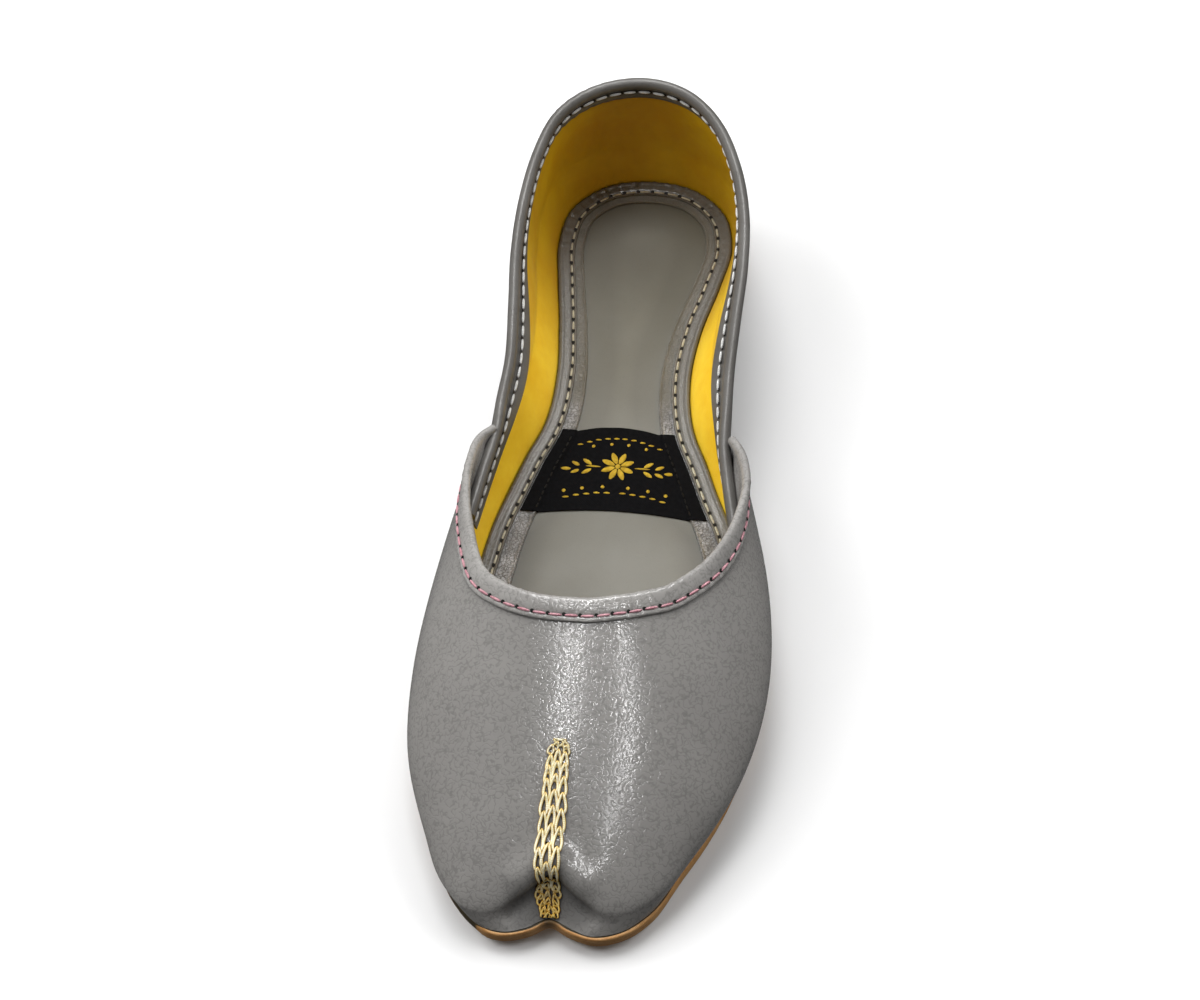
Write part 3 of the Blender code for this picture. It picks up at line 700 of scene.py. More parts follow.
def foil_leather():
    """Inner part of the rim: silvery crinkled foil in front, grey leather behind the label."""
    finish, shader, where = new_finish("rim_foil_leather")
    foil = place(FOIL_CRACKLE, Vector=where, Facet_mm=0.9)
    tone = mottled(where, 5.0, (0.20, 0.198, 0.196), (0.36, 0.357, 0.354))
    silver = blend(foil["Cracks"], tone["Color"], (0.13, 0.128, 0.126))
    grey = mottled(where, 10.0, (0.135, 0.129, 0.110), (0.172, 0.165, 0.145))
    behind = span_along(where, 155.0, 163.0)
    metal = maths("MULTIPLY", maths("SUBTRACT", 1.0, behind), 0.35)
    feed(shader, "Metallic", metal)
    feed(shader, "Roughness", span(behind, 0.0, 1.0, 0.40, 0.42))
    dress(shader, blend(behind, silver, grey["Color"]), foil["Height"], 0.32)
    return finish


def gold_leather():
    finish, shader, where = new_finish("gold_lining_leather", 0.42)
    tone = mottled(where, 18.0, (0.88, 0.54, 0.020), (1.0, 0.70, 0.045))
    grain = place(LEATHER_GRAIN, Vector=where, Pebble_mm=0.5, Wrinkle_mm=3.0, Wrinkle_share=0.6)
    # Painted shade: the lining darkens towards the heel, where the heel's walls shade it.
    heel_shaded = darkened_heel(where, tone["Color"], LINING_HEEL_SHADE_FROM, (0.63, 0.57, 0.25))
    dress(shader, heel_shaded, grain["Height"], 0.035)
    return finish


def thread(name, dark, light, roughness=0.5):
    """Matt twisted thread, with painted shade between its plies."""
    finish, shader, where = new_finish(name, roughness)
    tone = mottled(where, 1.2, dark, light)
    twist = place(THREAD_TWIST, Turn=attribute("turn", where))["Height"]
    # Painted shade in the grooves between the plies.
    valley = span(twist, 0.0, 0.5, 0.55, 1.0)
    dress(shader, shade(tone["Color"], valley), twist, 0.10)
    return finish


def gold_wire():
    """Gilt thread of the chain: a painted highlight along its crest, painted shade where it turns
    under and, by the notch, painted shade of a darker, deeper gold."""
    finish, shader, where = new_finish("gold_metal_thread", 0.24)
    crest = attribute("crest", where)
    twist = place(THREAD_TWIST, Turn=attribute("turn", where))["Height"]
    tone = mottled(where, 1.5, (1.0, 0.91, 0.53), (1.0, 0.97, 0.78))
    # Painted shade on the wire's sides and a painted highlight along its crest, strongest mid-loop.
    sides = blend(span(crest, 0.1, 0.70), (0.10, 0.05, 0.005), (0.80, 0.51, 0.09))
    crest_highlight = maths("MULTIPLY", span(crest, 0.62, 0.88),
                 span(attribute("middle", where), 0.0, 0.6, 0.3, 1.0))
    gilt = blend(crest_highlight, sides, tone["Color"])
    # Painted shade: by the notch, in the fold's shade, the loops are a darker, warmer gold.
    wear_and_shade_tint = shade(gilt, (1.0, 0.78, 0.34))
    notch = span_along(where, 7.0, 12.0, 1.0, 0.0)
    dress(shader, blend(notch, gilt, wear_and_shade_tint), twist, 0.06)
    return finish


def label_cloth():
    finish, shader, where = new_finish("label_cloth_weave", 0.85)
    shader.inputs["Specular IOR Level"].default_value = 0.02
    weave = place(CLOTH_WEAVE, Vector=where, Pitch_mm=0.35)
    tone = blend(weave["Fac"], (0.003, 0.003, 0.0033), (0.009, 0.009, 0.010))
    dress(shader, tone, weave["Height"], 0.05)
    return finish


def plain_finish(name, roughness, cloud, dark, light):
    finish, shader, where = new_finish(name, roughness)
    dress(shader, mottled(where, cloud, dark, light)["Color"])
    return finish


# The upper's creases carry painted shade.
UPPER_LEATHER = grained_leather("upper_leather_grain", (0.224, 0.216, 0.206),
                                (0.252, 0.244, 0.232), (0.8, 1.35, 0.6), depth=0.036,
                                roughness=0.15, pore=0.77, crease_painted_shade=0.58)
# The binding's tone, lighter than the upper's, is partly a painted sheen for the band's highlights.
BINDING_LEATHER = grained_leather("binding_leather_grain", (0.268, 0.258, 0.246),
                                  (0.330, 0.320, 0.305), (0.8, 1.35, 0.6), depth=0.045,
                                  roughness=0.15, pore=0.76)
COLLAR_LEATHER = grained_leather("collar_leather_grain", (0.095, 0.090, 0.083),
                                 (0.128, 0.123, 0.115), (0.5, 1.0, 0.4), depth=0.035,
                                 roughness=0.36)
RIM_LEATHER = grained_leather("rim_leather_grain", (0.108, 0.104, 0.094), (0.142, 0.137, 0.126),
                              (0.5, 1.0, 0.5), depth=0.04, roughness=0.25, cloud=14.0)
# The footbed's tint is painted shade: darker towards the heel and beside the rim.
FOOTBED_LEATHER = grained_leather("footbed_leather_grain", (0.131, 0.126, 0.103),
                                  (0.147, 0.142, 0.118), (0.35, 0.5, 0.35), depth=0.02,
                                  roughness=0.50, cloud=40.0, pore=0.93, wear_and_shade_tint=(0.73, 0.71, 0.62))
SOLE_LEATHER = sole_edge_leather()
RIM_FOIL = foil_leather()
GOLD_LINING = gold_leather()
WHITE_THREAD = thread("white_thread", (0.80, 0.80, 0.78), (0.95, 0.95, 0.93))
CREAM_THREAD = thread("cream_thread", (0.66, 0.61, 0.46), (0.90, 0.86, 0.70))
PINK_THREAD = thread("pink_thread", (0.62, 0.26, 0.31), (0.88, 0.48, 0.54))
BLACK_THREAD = thread("black_thread", (0.003, 0.003, 0.003), (0.006, 0.006, 0.006), 0.9)
GOLD_THREAD = gold_wire()
MOTIF_THREAD = thread("motif_thread", (0.60, 0.38, 0.020), (0.85, 0.58, 0.05), 0.55)
LABEL_CLOTH = label_cloth()
# Needle holes: dark beads of painted shade.
NEEDLE_HOLE_SHADE = plain_finish("needle_hole_painted_shade", 0.9, 0.6, (0.004, 0.004, 0.004),
                           (0.012, 0.011, 0.010))


# ---------------------------------------------------------------------- threads
UP = np.array((0.0, 0.0, 1.0))
LOOK = 0.6                # a stitch lies between points this far before and behind it
HOLE_DEPTH = 0.16


def march(points, outs, pitch, start=0.5):
    """Even places along a line: the point, the way on and the way out at each."""
    run = distances(points)
    at = pitch * (start + np.arange(int((run[-1] - pitch * start) / pitch)))
    middle, fore, back = (rows_at(at + ahead, run, points) for ahead in (0.0, LOOK, -LOOK))
    return list(zip(middle, unit(fore - back), unit(rows_at(at, run, outs))))


def bead(bm, segments, rings, lay, shape=None):
    """A small sphere, shaped and then laid along "on" with its face to "out"."""
    point, on, out, sizes = lay
    made = bmesh.ops.create_uvsphere(bm, u_segments=segments, v_segments=rings, radius=1.0)
    verts = made["verts"]
    for vert in verts if shape else ():
        shape(vert)
    side = unit(np.cross(out, on))
    turn = Matrix((side, unit(np.cross(on, side)), on)).transposed().to_4x4()
    scale = Matrix.Diagonal((*[size * MM for size in sizes], 1.0))
    bmesh.ops.transform(bm, matrix=Matrix.Translation(to_frame(point)) @ turn @ scale, verts=verts)


def stitches(name, places, length, width, height, finish, slot, nodes):
    """One row of stitches: each a plump two-ply thread that dips at both ends."""
    bm = bmesh.new()
    turn = layer(bm, "turn")

    def plump(vert):
        vert[turn] = 2.0 * math.atan2(vert.co.x, -vert.co.y) + 9.0 * vert.co.z
        blunt = max(0.02, 1.0 - vert.co.z ** 2) ** -0.2
        vert.co.x *= blunt
        vert.co.y *= blunt

    for place_on_row in places:
        bead(bm, 8, 7, (*place_on_row, (width / 2, height / 2, length / 2)), plump)
    add_piece(name, bm, finish, nodes, 180)


def needle_holes(name, places, size, nodes):
    """Holes where the thread goes through, as dark beads of painted shade."""
    bm = bmesh.new()
    for place_on_row in places:
        bead(bm, 8, 5, (*place_on_row, (size / 2, HOLE_DEPTH / 2, size / 2)))
    add_piece(name, bm, NEEDLE_HOLE_SHADE, nodes, 180)


def sew(name, finish, node_name, row, hole_row, outs, sizes, hole_size):
    """A binding's row of stitches, and a needle hole between each two of them."""
    stitches(name + "_stitches", march(row, outs, STITCH_PITCH), *sizes, finish,
             "binding_leather", [node_name])
    needle_holes(name + "_needle_holes", march(hole_row, outs, STITCH_PITCH, 1.0), hole_size,
                 [node_name])


# ------------------------------------------------------------------------ upper
LOW_STEPS = 9
VAMP_FACE = Face(VAMP, 1.4, 44, LOW_STEPS, CREASES)
QUARTER_FACE = Face(QUARTER, 1.6, 16, LOW_STEPS)
RIM_SHIFT = [(95.0, 2.9), (123.0, 2.3), (150.0, 1.3), (168.0, 0.4), (182.0, 0.0)]


def rim_shift(line):
    """How much further in the footbed's outer side lies than its inner side."""
    return np.interp(line[..., 1], *np.transpose(RIM_SHIFT)) * (line[..., 0] < 0)


def below_edge(rib, drop):
    """A rib's points moved down it, so that it starts this far below the top edge."""
    run = distances(rib)
    return rows_at(drop + run * (1.0 - drop / run[-1]), run, rib)


LINING_GAP = 0.1          # between leather and lining
LINING_REACH = 0.15       # past the rim's edge
LINING_TURN = 0.74        # share of the low wall in which it gets there
LINING_TURN_FROM = (78.0, 98.0)


def lining(name, face, drop, short=0):
    """Lining behind the leather, some ribs short of its ends; low down it turns in over the
    padding to meet the rim."""
    grid = face.grid[short:len(face.grid) - short].copy()
    belly, foot = grid[:, -LOW_STEPS - 1:-LOW_STEPS, :2], grid[:, -1:, :2]
    inward = unit(foot - belly + 1e-9)
    foot = foot + inward * (rim_shift(foot) + LINING_REACH)[..., None]
    t = np.minimum(1.0, np.linspace(0.0, 1.0, LOW_STEPS + 1)[1:] / LINING_TURN)[None, :, None]
    turned = belly + (foot - belly) * t
    low = grid[:, -LOW_STEPS:, :2]
    grid[:, -LOW_STEPS:, :2] = low + (turned - low) * ease(*LINING_TURN_FROM, grid[:, -1:, 1:2])
    grid = np.array([below_edge(rib, drop) for rib in grid])
    outer = grid - grid_normals(grid) * (LEATHER + LINING_GAP)
    leather_wall(name, outer, LINING, GOLD_LINING)


leather_wall("vamp_leather", VAMP_FACE.grid, LEATHER, UPPER_LEATHER, VAMP_FACE.hollow)
leather_wall("quarter_leather", QUARTER_FACE.grid, LEATHER, UPPER_LEATHER)
lining("vamp_lining", VAMP_FACE, 4.5, 7)
lining("quarter_lining", QUARTER_FACE, 3.2)


# ------------------------------------------------------------- sole and footbed
def sole_line(step):
    """The feather line all round the shoe: across and along, one closed loop."""
    points = [row[1] for row in VAMP[1:-1]] + [row[1] for row in QUARTER[-4:2:-1]]
    points = np.array([*points, points[0]])
    run = distances(points)
    return spline(run, points, np.linspace(0.0, run[-1], round(run[-1] / step), endpoint=False))


def outwards(line):
    """Unit directions away from the closed feather line."""
    on = np.roll(line, -1, axis=0) - np.roll(line, 1, axis=0)
    away = unit(np.column_stack([on[:, 1], -on[:, 0]]))
    return away if np.sum(away * (line - line.mean(axis=0))) > 0 else -away


FEATHER = sole_line(1.2)
AWAY = outwards(FEATHER)


def crown(along):
    """How far the middle of the footbed stands over its border: hollow at the heel."""
    return 0.25 - 0.95 * ease(150.0, 185.0, along)


def slab(name, outline, levels, finish, nodes, margin=0.0):
    """A closed plate; each level gives how far in from the outline (mm, or a share of the
    way to the spine when under zero), the height there, and its share of the crown."""
    along = np.clip(outline[:, 1], SPINE[0][0], SPINE[-1][0])
    inward = np.column_stack([np.interp(along, *np.transpose(SPINE)), along]) - outline
    depth = np.linalg.norm(inward, axis=1, keepdims=True)
    rows, under = [], []
    for inset, up, *bulge in levels:
        share = np.minimum(inset / depth, 0.94) if inset >= 0 else np.full_like(depth, -inset)
        plan = outline + inward * share
        along = plan[:, 1]
        rows.append(np.column_stack([plan, up + sum(bulge) * crown(along) + toe_lift(along)]))
        under.append((share * depth)[:, 0] - margin)
    sweep(name, np.array(rows), finish, nodes, marks={"under": np.array(under)}, split=True)


def make_outsole():
    across, along = FEATHER.T
    toe = 1.0 - ease(5.0, 16.0, along)
    inner = ease(12.0, 30.0, along) * (1.0 - ease(60.0, 85.0, along))
    corner = ease(18.5, 24.0, -across) * (1.0 - ease(24.0, 42.0, along))
    margin = SOLE_MARGIN + 0.5 * toe * (1.0 - corner) - 0.5 * corner
    margin += 0.6 * inner * (across > 0)
    levels = [(-0.95, 0.0), (-0.6, 0.0), (-0.25, 0.0), (1.2, 0.0), (0.45, 0.06), (0.1, 0.35),
              (0.0, 0.8), (0.0, 1.7), (0.0, 2.6), (0.05, 3.2), (0.25, 3.5), (0.45, SOLE_THICK),
              (0.7, SOLE_THICK), (1.0, SOLE_THICK), (-0.3, SOLE_THICK), (-0.95, SOLE_THICK)]
    slab("outsole_leather", FEATHER + AWAY * margin[:, None], levels, SOLE_LEATHER,
         ["outsole"], margin)


def make_footbed():
    near_toe = np.clip(1.0 - FEATHER[:, 1:2] / FOOTBED_TOE, 0.0, 1.0)
    shift = rim_shift(FEATHER) * ease(60.0, 95.0, FEATHER[:, 1])
    outline = FEATHER - AWAY * (FOOTBED_INSET + FOOTBED_TOE_INSET * near_toe ** 1.5
                                + shift[:, None])
    bed = BED_TOP - 0.15
    levels = [(-0.95, BED_LOW), (-0.4, BED_LOW), (0.0, BED_LOW), (0.0, BED_TOP - 0.6), (0.4, bed),
              (4.0, bed), (7.0, bed), (9.0, bed, 0.12), (11.0, bed, 0.4), (-0.80, bed, 0.85),
              (-0.95, bed, 1.0)]
    slab("footbed_leather", outline, levels, FOOTBED_LEATHER, ["footbed"])


make_outsole()
make_footbed()


# ------------------------------------------------------------------------- rim
def rim_width(along):
    return RIM_HEEL + (RIM_FRONT - RIM_HEEL) * np.clip((200.0 - along) / 80.0, 0.0, 1.0)


def rim_lines():
    """The feather line and its outward directions from one end of the rim to the other."""
    ahead = np.flatnonzero(FEATHER[:, 1] < RIM_FROM)
    order = [(ahead.max() + 1 + k) % len(FEATHER) for k in range(len(FEATHER) - len(ahead))]
    return FEATHER[order], AWAY[order]


def rim_point(line, away, width, height):
    """Points of the rim: this far in from the footbed's edge, this far above it."""
    plan = line - away * (FOOTBED_INSET + rim_shift(line) + width)[:, None]
    return np.column_stack([plan, BED_TOP + height + toe_lift(line[:, 1])])


# Sections of the rim: how far in from the footbed's edge, up.
RIM_UNDER = [(RIM_STITCH - 1.0, 0.02), (RIM_STITCH - 1.0, 0.3), (RIM_FOLD, 0.45)]
RIM_BORDER = [(1.6, 0.42), (0.95, 0.42), (0.7, 0.48), (0.5, 0.66), (0.25, 0.70), (0.05, 0.52),
              (0.0, 0.2), (0.0, 0.0)]              # out from the rim's inner edge instead
RIM_ROLL = [(-0.45, 0.05), (-0.62, 0.55), (-0.45, 1.0), (0.0, 1.32), (0.5, 1.38), (0.85, 1.22),
            (1.3, 1.15), (2.1, 1.2), (2.7, 1.12), (3.05, 0.88), (RIM_STITCH, 0.74), (3.55, 0.92),
            (3.85, 1.14), (RIM_FOLD - 0.15, 1.14), (RIM_FOLD, 0.75), (RIM_FOLD, 0.46), (3.0, 0.44),
            (0.5, 0.3)]


def make_rim():
    line, away = rim_lines()
    line, away = even(line, 0.8, away)
    total = rim_width(line[:, 1])
    run = distances(line)
    # Gathers of the folded leather where it turns round the heel.
    gather = 0.14 * np.sin(run * 1.9) + 0.10 * np.sin(run * 3.1 + 1.0)
    gather *= ease(205.0, 222.0, line[:, 1])
    rings = [rim_point(line, away, across, up) for across, up in RIM_UNDER]
    rings += [rim_point(line, away, total - inset, up) for inset, up in RIM_BORDER]
    sweep("footbed_rim_inner", np.stack(rings, axis=1), RIM_FOIL,
          ["footbed_rim"], 30)
    rings = []
    for across, up in RIM_ROLL:
        raised = gather * ease(0.4, 1.2, up) * ease(RIM_STITCH, 1.5, across)
        rings.append(rim_point(line, away, across, up + raised))
    sweep("footbed_rim_fold", np.stack(rings, axis=1), RIM_LEATHER,
          ["footbed_rim"])
    sew("rim", CREAM_THREAD, "footbed_rim", rim_point(line, away, RIM_STITCH, 0.9),
        rim_point(line, away, RIM_STITCH - 0.1, 1.03), np.tile(UP, (len(line), 1)),
        (3.1, 0.62, 0.55), 1.15)


make_rim()


# ----------------------------------------------------------------------- label
LABEL_BOW = 1.7           # the band's ends bow towards the heel in the middle
LABEL_TUCK = 0.35         # its sides stop this far inside the folded part of the rim
LABEL_THICK = 0.3
MOTIF_X = -0.8            # middle of the woven flower
PETAL_REACH = 2.75        # middle of each petal from the flower's
# Woven sprigs: across, along, degrees turned, length, width; each has its mirror image.
SPRIG = [(6.6, 137.2, 90.0, 4.4, 0.55), (8.2, 138.7, 56.0, 3.0, 1.25),
         (8.2, 135.6, 124.0, 3.0, 1.25), (11.2, 138.4, 64.0, 2.7, 1.15),
         (11.2, 135.9, 116.0, 2.7, 1.15), (13.8, 137.1, 90.0, 2.8, 1.15)]
BORDER = [(1.1, 146.3, 90.0, 1.6, 0.6), (3.5, 146.2, 90.0, 1.6, 0.6), (5.9, 145.9, 92.0, 1.6, 0.6),
          (8.3, 145.5, 94.0, 1.6, 0.6), (10.7, 145.0, 96.0, 1.6, 0.6),
          (2.1, 128.6, 90.0, 1.8, 0.65), (4.8, 128.5, 91.0, 1.8, 0.65),
          (7.5, 128.2, 93.0, 1.8, 0.65), (10.2, 127.9, 95.0, 1.8, 0.65),
          (12.9, 127.4, 97.0, 1.8, 0.65)]
BUDS = [(2.3, 144.4, 0.0, 1.0, 1.0), (7.1, 143.9, 0.0, 1.0, 1.0), (3.4, 130.5, 0.0, 1.1, 1.1),
        (8.8, 130.1, 0.0, 1.1, 1.1), (13.6, 129.6, 0.0, 1.1, 1.1)]


class Label:
    """The band across the footbed: its two sides on the rim, its middle on the bed."""

    def __init__(self):
        line, away = rim_lines()
        self.lines = []
        for width in (RIM_FOLD + LABEL_TUCK, rim_width(line[:, 1])):
            rows = rim_point(line, away, width, 0.0)
            waist = rows[rows[:, 1] < 200.0]
            for side in (waist[waist[:, 0] < 0], waist[waist[:, 0] > 0]):
                self.lines.append(side[np.argsort(side[:, 1])])

    def sides(self, along):
        """Across at an along: outer ends left and right, then the steps off the rim."""
        return [np.interp(along, line[:, 1], line[:, 0]) for line in self.lines]

    def at(self, across, along):
        """Point of the cloth's upper face over a place on the footbed, with its bow."""
        left, right = self.sides(along)[2:]
        inside = min(across - left, right - across)
        share = np.clip((across - left) / (right - left), 0.0, 1.0)
        bow = LABEL_BOW * ease(-0.3, 1.4, inside) * (1 - (2 * share - 1) ** 2)
        rise = 0.98 - 0.72 * ease(-0.1, 0.9, inside)
        rise -= 0.14 * math.exp(-((inside + 0.35) / 0.3) ** 2)
        rise += crown(along) * ease(1.5, 8.0, inside)
        wave = 0.05 * math.sin(across * 0.9 + along * 0.35) * ease(1.0, 4.0, inside)
        return np.array([across, along + bow, BED_TOP + rise + wave])

    def cloth(self):
        along = np.linspace(LABEL_CORNER[1], LABEL_BACK, 30)
        grid = [[self.at(low + (high - low) * part, spot) for part in np.linspace(0.0, 1.0, 111)]
                for spot, low, high in zip(along, *self.sides(along)[:2])]
        bm = bmesh.new()
        lay_grid(bm, np.array(grid))
        bmesh.ops.recalc_face_normals(bm, faces=bm.faces)
        if sum(face.normal.z for face in bm.faces) < 0:
            bmesh.ops.reverse_faces(bm, faces=bm.faces)
        bmesh.ops.solidify(bm, geom=bm.faces[:], thickness=LABEL_THICK * MM)
        bmesh.ops.recalc_face_normals(bm, faces=bm.faces)
        add_piece("label_band_cloth", bm, LABEL_CLOTH, ["label_band"])

    def seams(self):
        """Black stitches down both sides, just inside the rim's inner edge."""
        along = np.linspace(LABEL_CORNER[1] + 0.8, LABEL_BACK - 0.8, 60)
        places = []
        for sides, way in zip(self.sides(along)[2:], (-1.0, 1.0)):
            row = [self.at(side + way * 0.35, spot) for side, spot in zip(sides, along)]
            places += march(np.array(row) + 0.12 * UP, np.tile(UP, (len(row), 1)), 2.1)
        stitches("label_seam_stitches", places, 1.5, 0.5, 0.4, BLACK_THREAD, "label_cloth",
                 ["label_band"])

    def motif(self):
        """Woven flower, sprigs and borders, each leaf a low mound of thread."""
        bm = bmesh.new()
        turn = layer(bm, "turn")
        leaves = [(0.0, 137.3, 22.5 + 45.0 * k, 3.9, 1.7, PETAL_REACH) for k in range(8)]
        leaves.append((0.0, 137.3, 0.0, 1.6, 1.6, 0.0))
        for across, along, degrees, length, width in SPRIG + BORDER + BUDS:
            leaves.append((across, along, degrees, length, width, 0.0))
            leaves.append((-across, along, -degrees, length, width, 0.0))
        for across, along, degrees, length, width, push in leaves:
            lean = math.radians(degrees)
            spot = self.at(across + MOTIF_X + push * math.sin(lean), along + push * math.cos(lean))

            def pinch(vert):
                vert[turn] = 5.0 * length * vert.co.z
                vert.co.x *= 1.0 - 0.35 * vert.co.z ** 2

            way = np.array((math.sin(lean), math.cos(lean), 0.0))
            bead(bm, 10, 6, (spot, way, UP, (width / 2, 0.16, length / 2)), pinch)
        add_piece("label_motif", bm, MOTIF_THREAD, ["label_band"], 180)


BAND = Label()
BAND.cloth()
BAND.seams()
BAND.motif()


# -------------------------------------------------------------------- bindings
# Sections of the bindings: in from the wall's outer face, down from its edge.
COLLAR_ROLL = [(-0.05, 2.3), (-0.5, 2.2), (-0.95, 1.7), (-1.17, 0.9), (-1.18, 0.2),
               (-0.95, -0.55), (-0.45, -1.15), (0.3, -1.38), (1.0, -1.15), (1.55, -0.65),
               (1.87, 0.0), (1.95, 0.6), (1.78, 1.15), (1.42, 1.6), (1.35, 2.0), (1.4, 2.4),
               (1.66, 2.85), (1.88, 3.3), (1.92, 4.2), (1.82, 4.65), (1.52, 4.7), (1.0, 3.0),
               (0.95, 0.3), (0.7, -0.2), (0.3, -0.3), (-0.1, 0.2)]
COLLAR_SPLAY = 0.85       # how much wider the collar's inner leg lies beside the waist
BAND_OVER = [(1.0, 6.5), (1.85, 6.5), (1.75, 4.2), (1.4, 2.4), (1.36, 0.9), (1.22, 0.1),
             (0.95, -0.5), (0.5, -0.92), (0.0, -1.05), (-0.55, -0.9), (-0.95, -0.42), (-1.1, 0.3)]
BAND_BACK = [(0.3, -0.1), (0.8, -0.1), (0.92, 0.6), (0.95, 3.2)]
# The part laid on the vamp: down from its edge, up from its face.
BAND_LAID = [(1.0, 1.15), (2.0, 1.05), (2.9, 0.98), (3.4, 0.8), (3.8, 0.62), (4.2, 0.8),
             (4.6, 0.86), (5.1, 0.72), (5.35, 0.35), (5.35, 0.04), (4.0, 0.02), (2.0, 0.02),
             (0.8, 0.02)]


def make_collar():
    """Leather rolled over the quarter's edge, its inner leg sewn down inside."""
    edge, out, down = edge_frames(QUARTER_FACE.grid, 1.0)
    run = distances(edge)
    # Beside the waist the folded leather lies flatter and looks wider.
    splay = (1.0 - ease(144.0, 192.0, edge[:, 1])) * np.where(edge[:, 0] < 0, 1.0, 0.75)
    back = np.exp(-((run - 0.42 * run[-1]) / 16.0) ** 2)
    pleat = back * (0.12 * np.sin(run * 1.7) + 0.08 * np.sin(run * 2.9 + 0.6))
    rings = []
    for p, o, d, lift, flat in zip(edge, out, down, pleat, splay * COLLAR_SPLAY):
        rings.append([p - o * (a + lift * (a > 1.8) + flat * max(0.0, b - 1.1) * (a > 1.3))
                      + d * (b - lift * (b < 0)) for a, b in COLLAR_ROLL])
    sweep("collar_roll", rings, COLLAR_LEATHER, ["collar_binding"])
    lie = (COLLAR_SPLAY * 1.2 * splay)[:, None]
    sew("collar", WHITE_THREAD, "collar_binding", edge - out * (1.9 + lie) + down * 2.2,
        edge - out * (1.68 + lie) + down * 2.25, -out, (3.3, 0.72, 0.75), 1.05)


def make_throat():
    """Folded band on the vamp's edge, sewn down with a row of stitches."""
    edge, out, down = edge_frames(VAMP_FACE.grid, 0.9)
    run = distances(edge)
    bend = sum(ease(8.0, 20.0, side) * (1.0 - ease(60.0, 85.0, side))
               for side in (run, run[-1] - run))
    pucker = bend * (0.07 * np.sin(run * 2.1) + 0.05 * np.sin(run * 3.4 + 2.0))
    rings = []
    for p, o, d, lift in zip(edge, out, down, pucker):
        ring = [p - o * (a - lift * (a < 1.0)) + d * (b - lift * (b < 0)) for a, b in BAND_OVER]
        ring += [VAMP_FACE.near(p + d * depth, height + lift * (height > 0.5))[0]
                 for depth, height in BAND_LAID]
        rings.append(ring + [p - o * a + d * b for a, b in BAND_BACK])
    sweep("throat_band", rings, BINDING_LEATHER, ["throat_binding"])
    row = [VAMP_FACE.near(p + d * 3.8, 0.85) for p, d in zip(edge, down)]
    spots, ways = (np.array(each) for each in zip(*row))
    holes = np.array([VAMP_FACE.near(p + d * 3.6, 0.92)[0] for p, d in zip(edge, down)])
    sew("throat", PINK_THREAD, "throat_binding", spots, holes, ways, (3.4, 0.72, 0.6), 1.0)


make_collar()
make_throat()


# ----------------------------------------------------------------------- chain
CHAIN_PLAN = [(-4.3, 41.0), (-4.5, 35.0), (-4.7, 29.0), (-4.8, 23.0), (-5.1, 17.5), (-5.3, 13.5),
              (-5.2, 11.0), (-4.8, 8.0), (NOTCH_X, 5.4)]
CHAIN_LENGTH = 41.5       # that the rows below are set out for
# Loops of the chain: how far down it they start, how far aside, length, width, degrees.
CHAIN_HEAD = [(0.2, -1.3, 2.4, 1.5, 62.0), (0.1, 1.4, 2.5, 1.5, -58.0),
              (0.9, -0.4, 1.9, 1.4, -24.0), (0.7, 1.1, 1.9, 1.3, 28.0),
              (1.7, -1.6, 2.2, 1.5, -14.0), (1.6, 1.6, 2.3, 1.5, 12.0)]
# Rows of three: where their loops start, their length, the chain's half width there.
CHAIN_ROWS = [(2.4, 3.1, 1.70), (5.0, 3.4, 1.95), (7.9, 3.7, 2.05), (11.2, 4.1, 2.10),
              (14.9, 4.4, 2.10), (18.9, 4.7, 2.10), (23.1, 4.8, 2.10), (27.3, 4.3, 2.05),
              (31.0, 3.2, 1.95), (33.7, 2.5, 1.85), (35.5, 2.3, 1.75), (37.2, 2.1, 1.65),
              (38.8, 2.0, 1.50), (40.2, 1.7, 1.40)]
COLUMN_START = {-1: 1.3, 0: 0.0, 1: 0.7}
RING = 0.25               # wire's radius on the unit ring that each loop starts as


def link(bm, rail, start, side, length, width, wire, turned, lean=0.0):
    """One teardrop loop of wire on the vamp, its narrow end at the start."""
    turn, crest, middle = (layer(bm, name) for name in ("turn", "crest", "middle"))
    ring = bmesh.ops.create_circle(bm, segments=8, radius=RING)["verts"]
    stand = Matrix.Translation((1.0, 0, 0)) @ Matrix.Rotation(math.pi / 2, 4, "X")
    bmesh.ops.transform(bm, matrix=stand, verts=ring)
    ring_edges = list({edge for vert in ring for edge in vert.link_edges})
    before = set(bm.verts) - set(ring)
    bmesh.ops.spin(bm, geom=ring + ring_edges, cent=(0, 0, 0), axis=(0, 0, 1), dvec=(0, 0, 0),
                   angle=2 * math.pi, steps=24, use_merge=True, use_duplicate=False)
    turned = math.radians(turned)
    for vert in set(bm.verts) - before:
        angle = math.atan2(vert.co.y, vert.co.x)
        swell = (math.hypot(vert.co.x, vert.co.y) - 1.0) / RING
        lift = vert.co.z / RING
        back = (1.0 - math.cos(angle)) / 2          # 0 at the narrow end, 1 at the wide end
        across = math.sin(angle) * (0.30 + 0.70 * back) * width / 2 * 1.25
        across += math.sin(angle) * swell * wire / 2 + lean * back
        along = back * length - math.cos(angle) * swell * wire / 2
        spot = rail(start + along * math.cos(turned) - across * math.sin(turned),
                    side + across * math.cos(turned) + along * math.sin(turned))
        over = math.exp(-((back - 0.12) / 0.14) ** 2)
        vert.co = to_frame(VAMP_FACE.near(spot, 0.30 + 0.42 * over + lift * wire / 2)[0])
        vert[turn] = 9.0 * angle
        # crest and middle carry the wire's painted highlight and shade.
        vert[crest] = lift
        vert[middle] = 1.0 - abs(2.0 * back - 1.0) ** 3


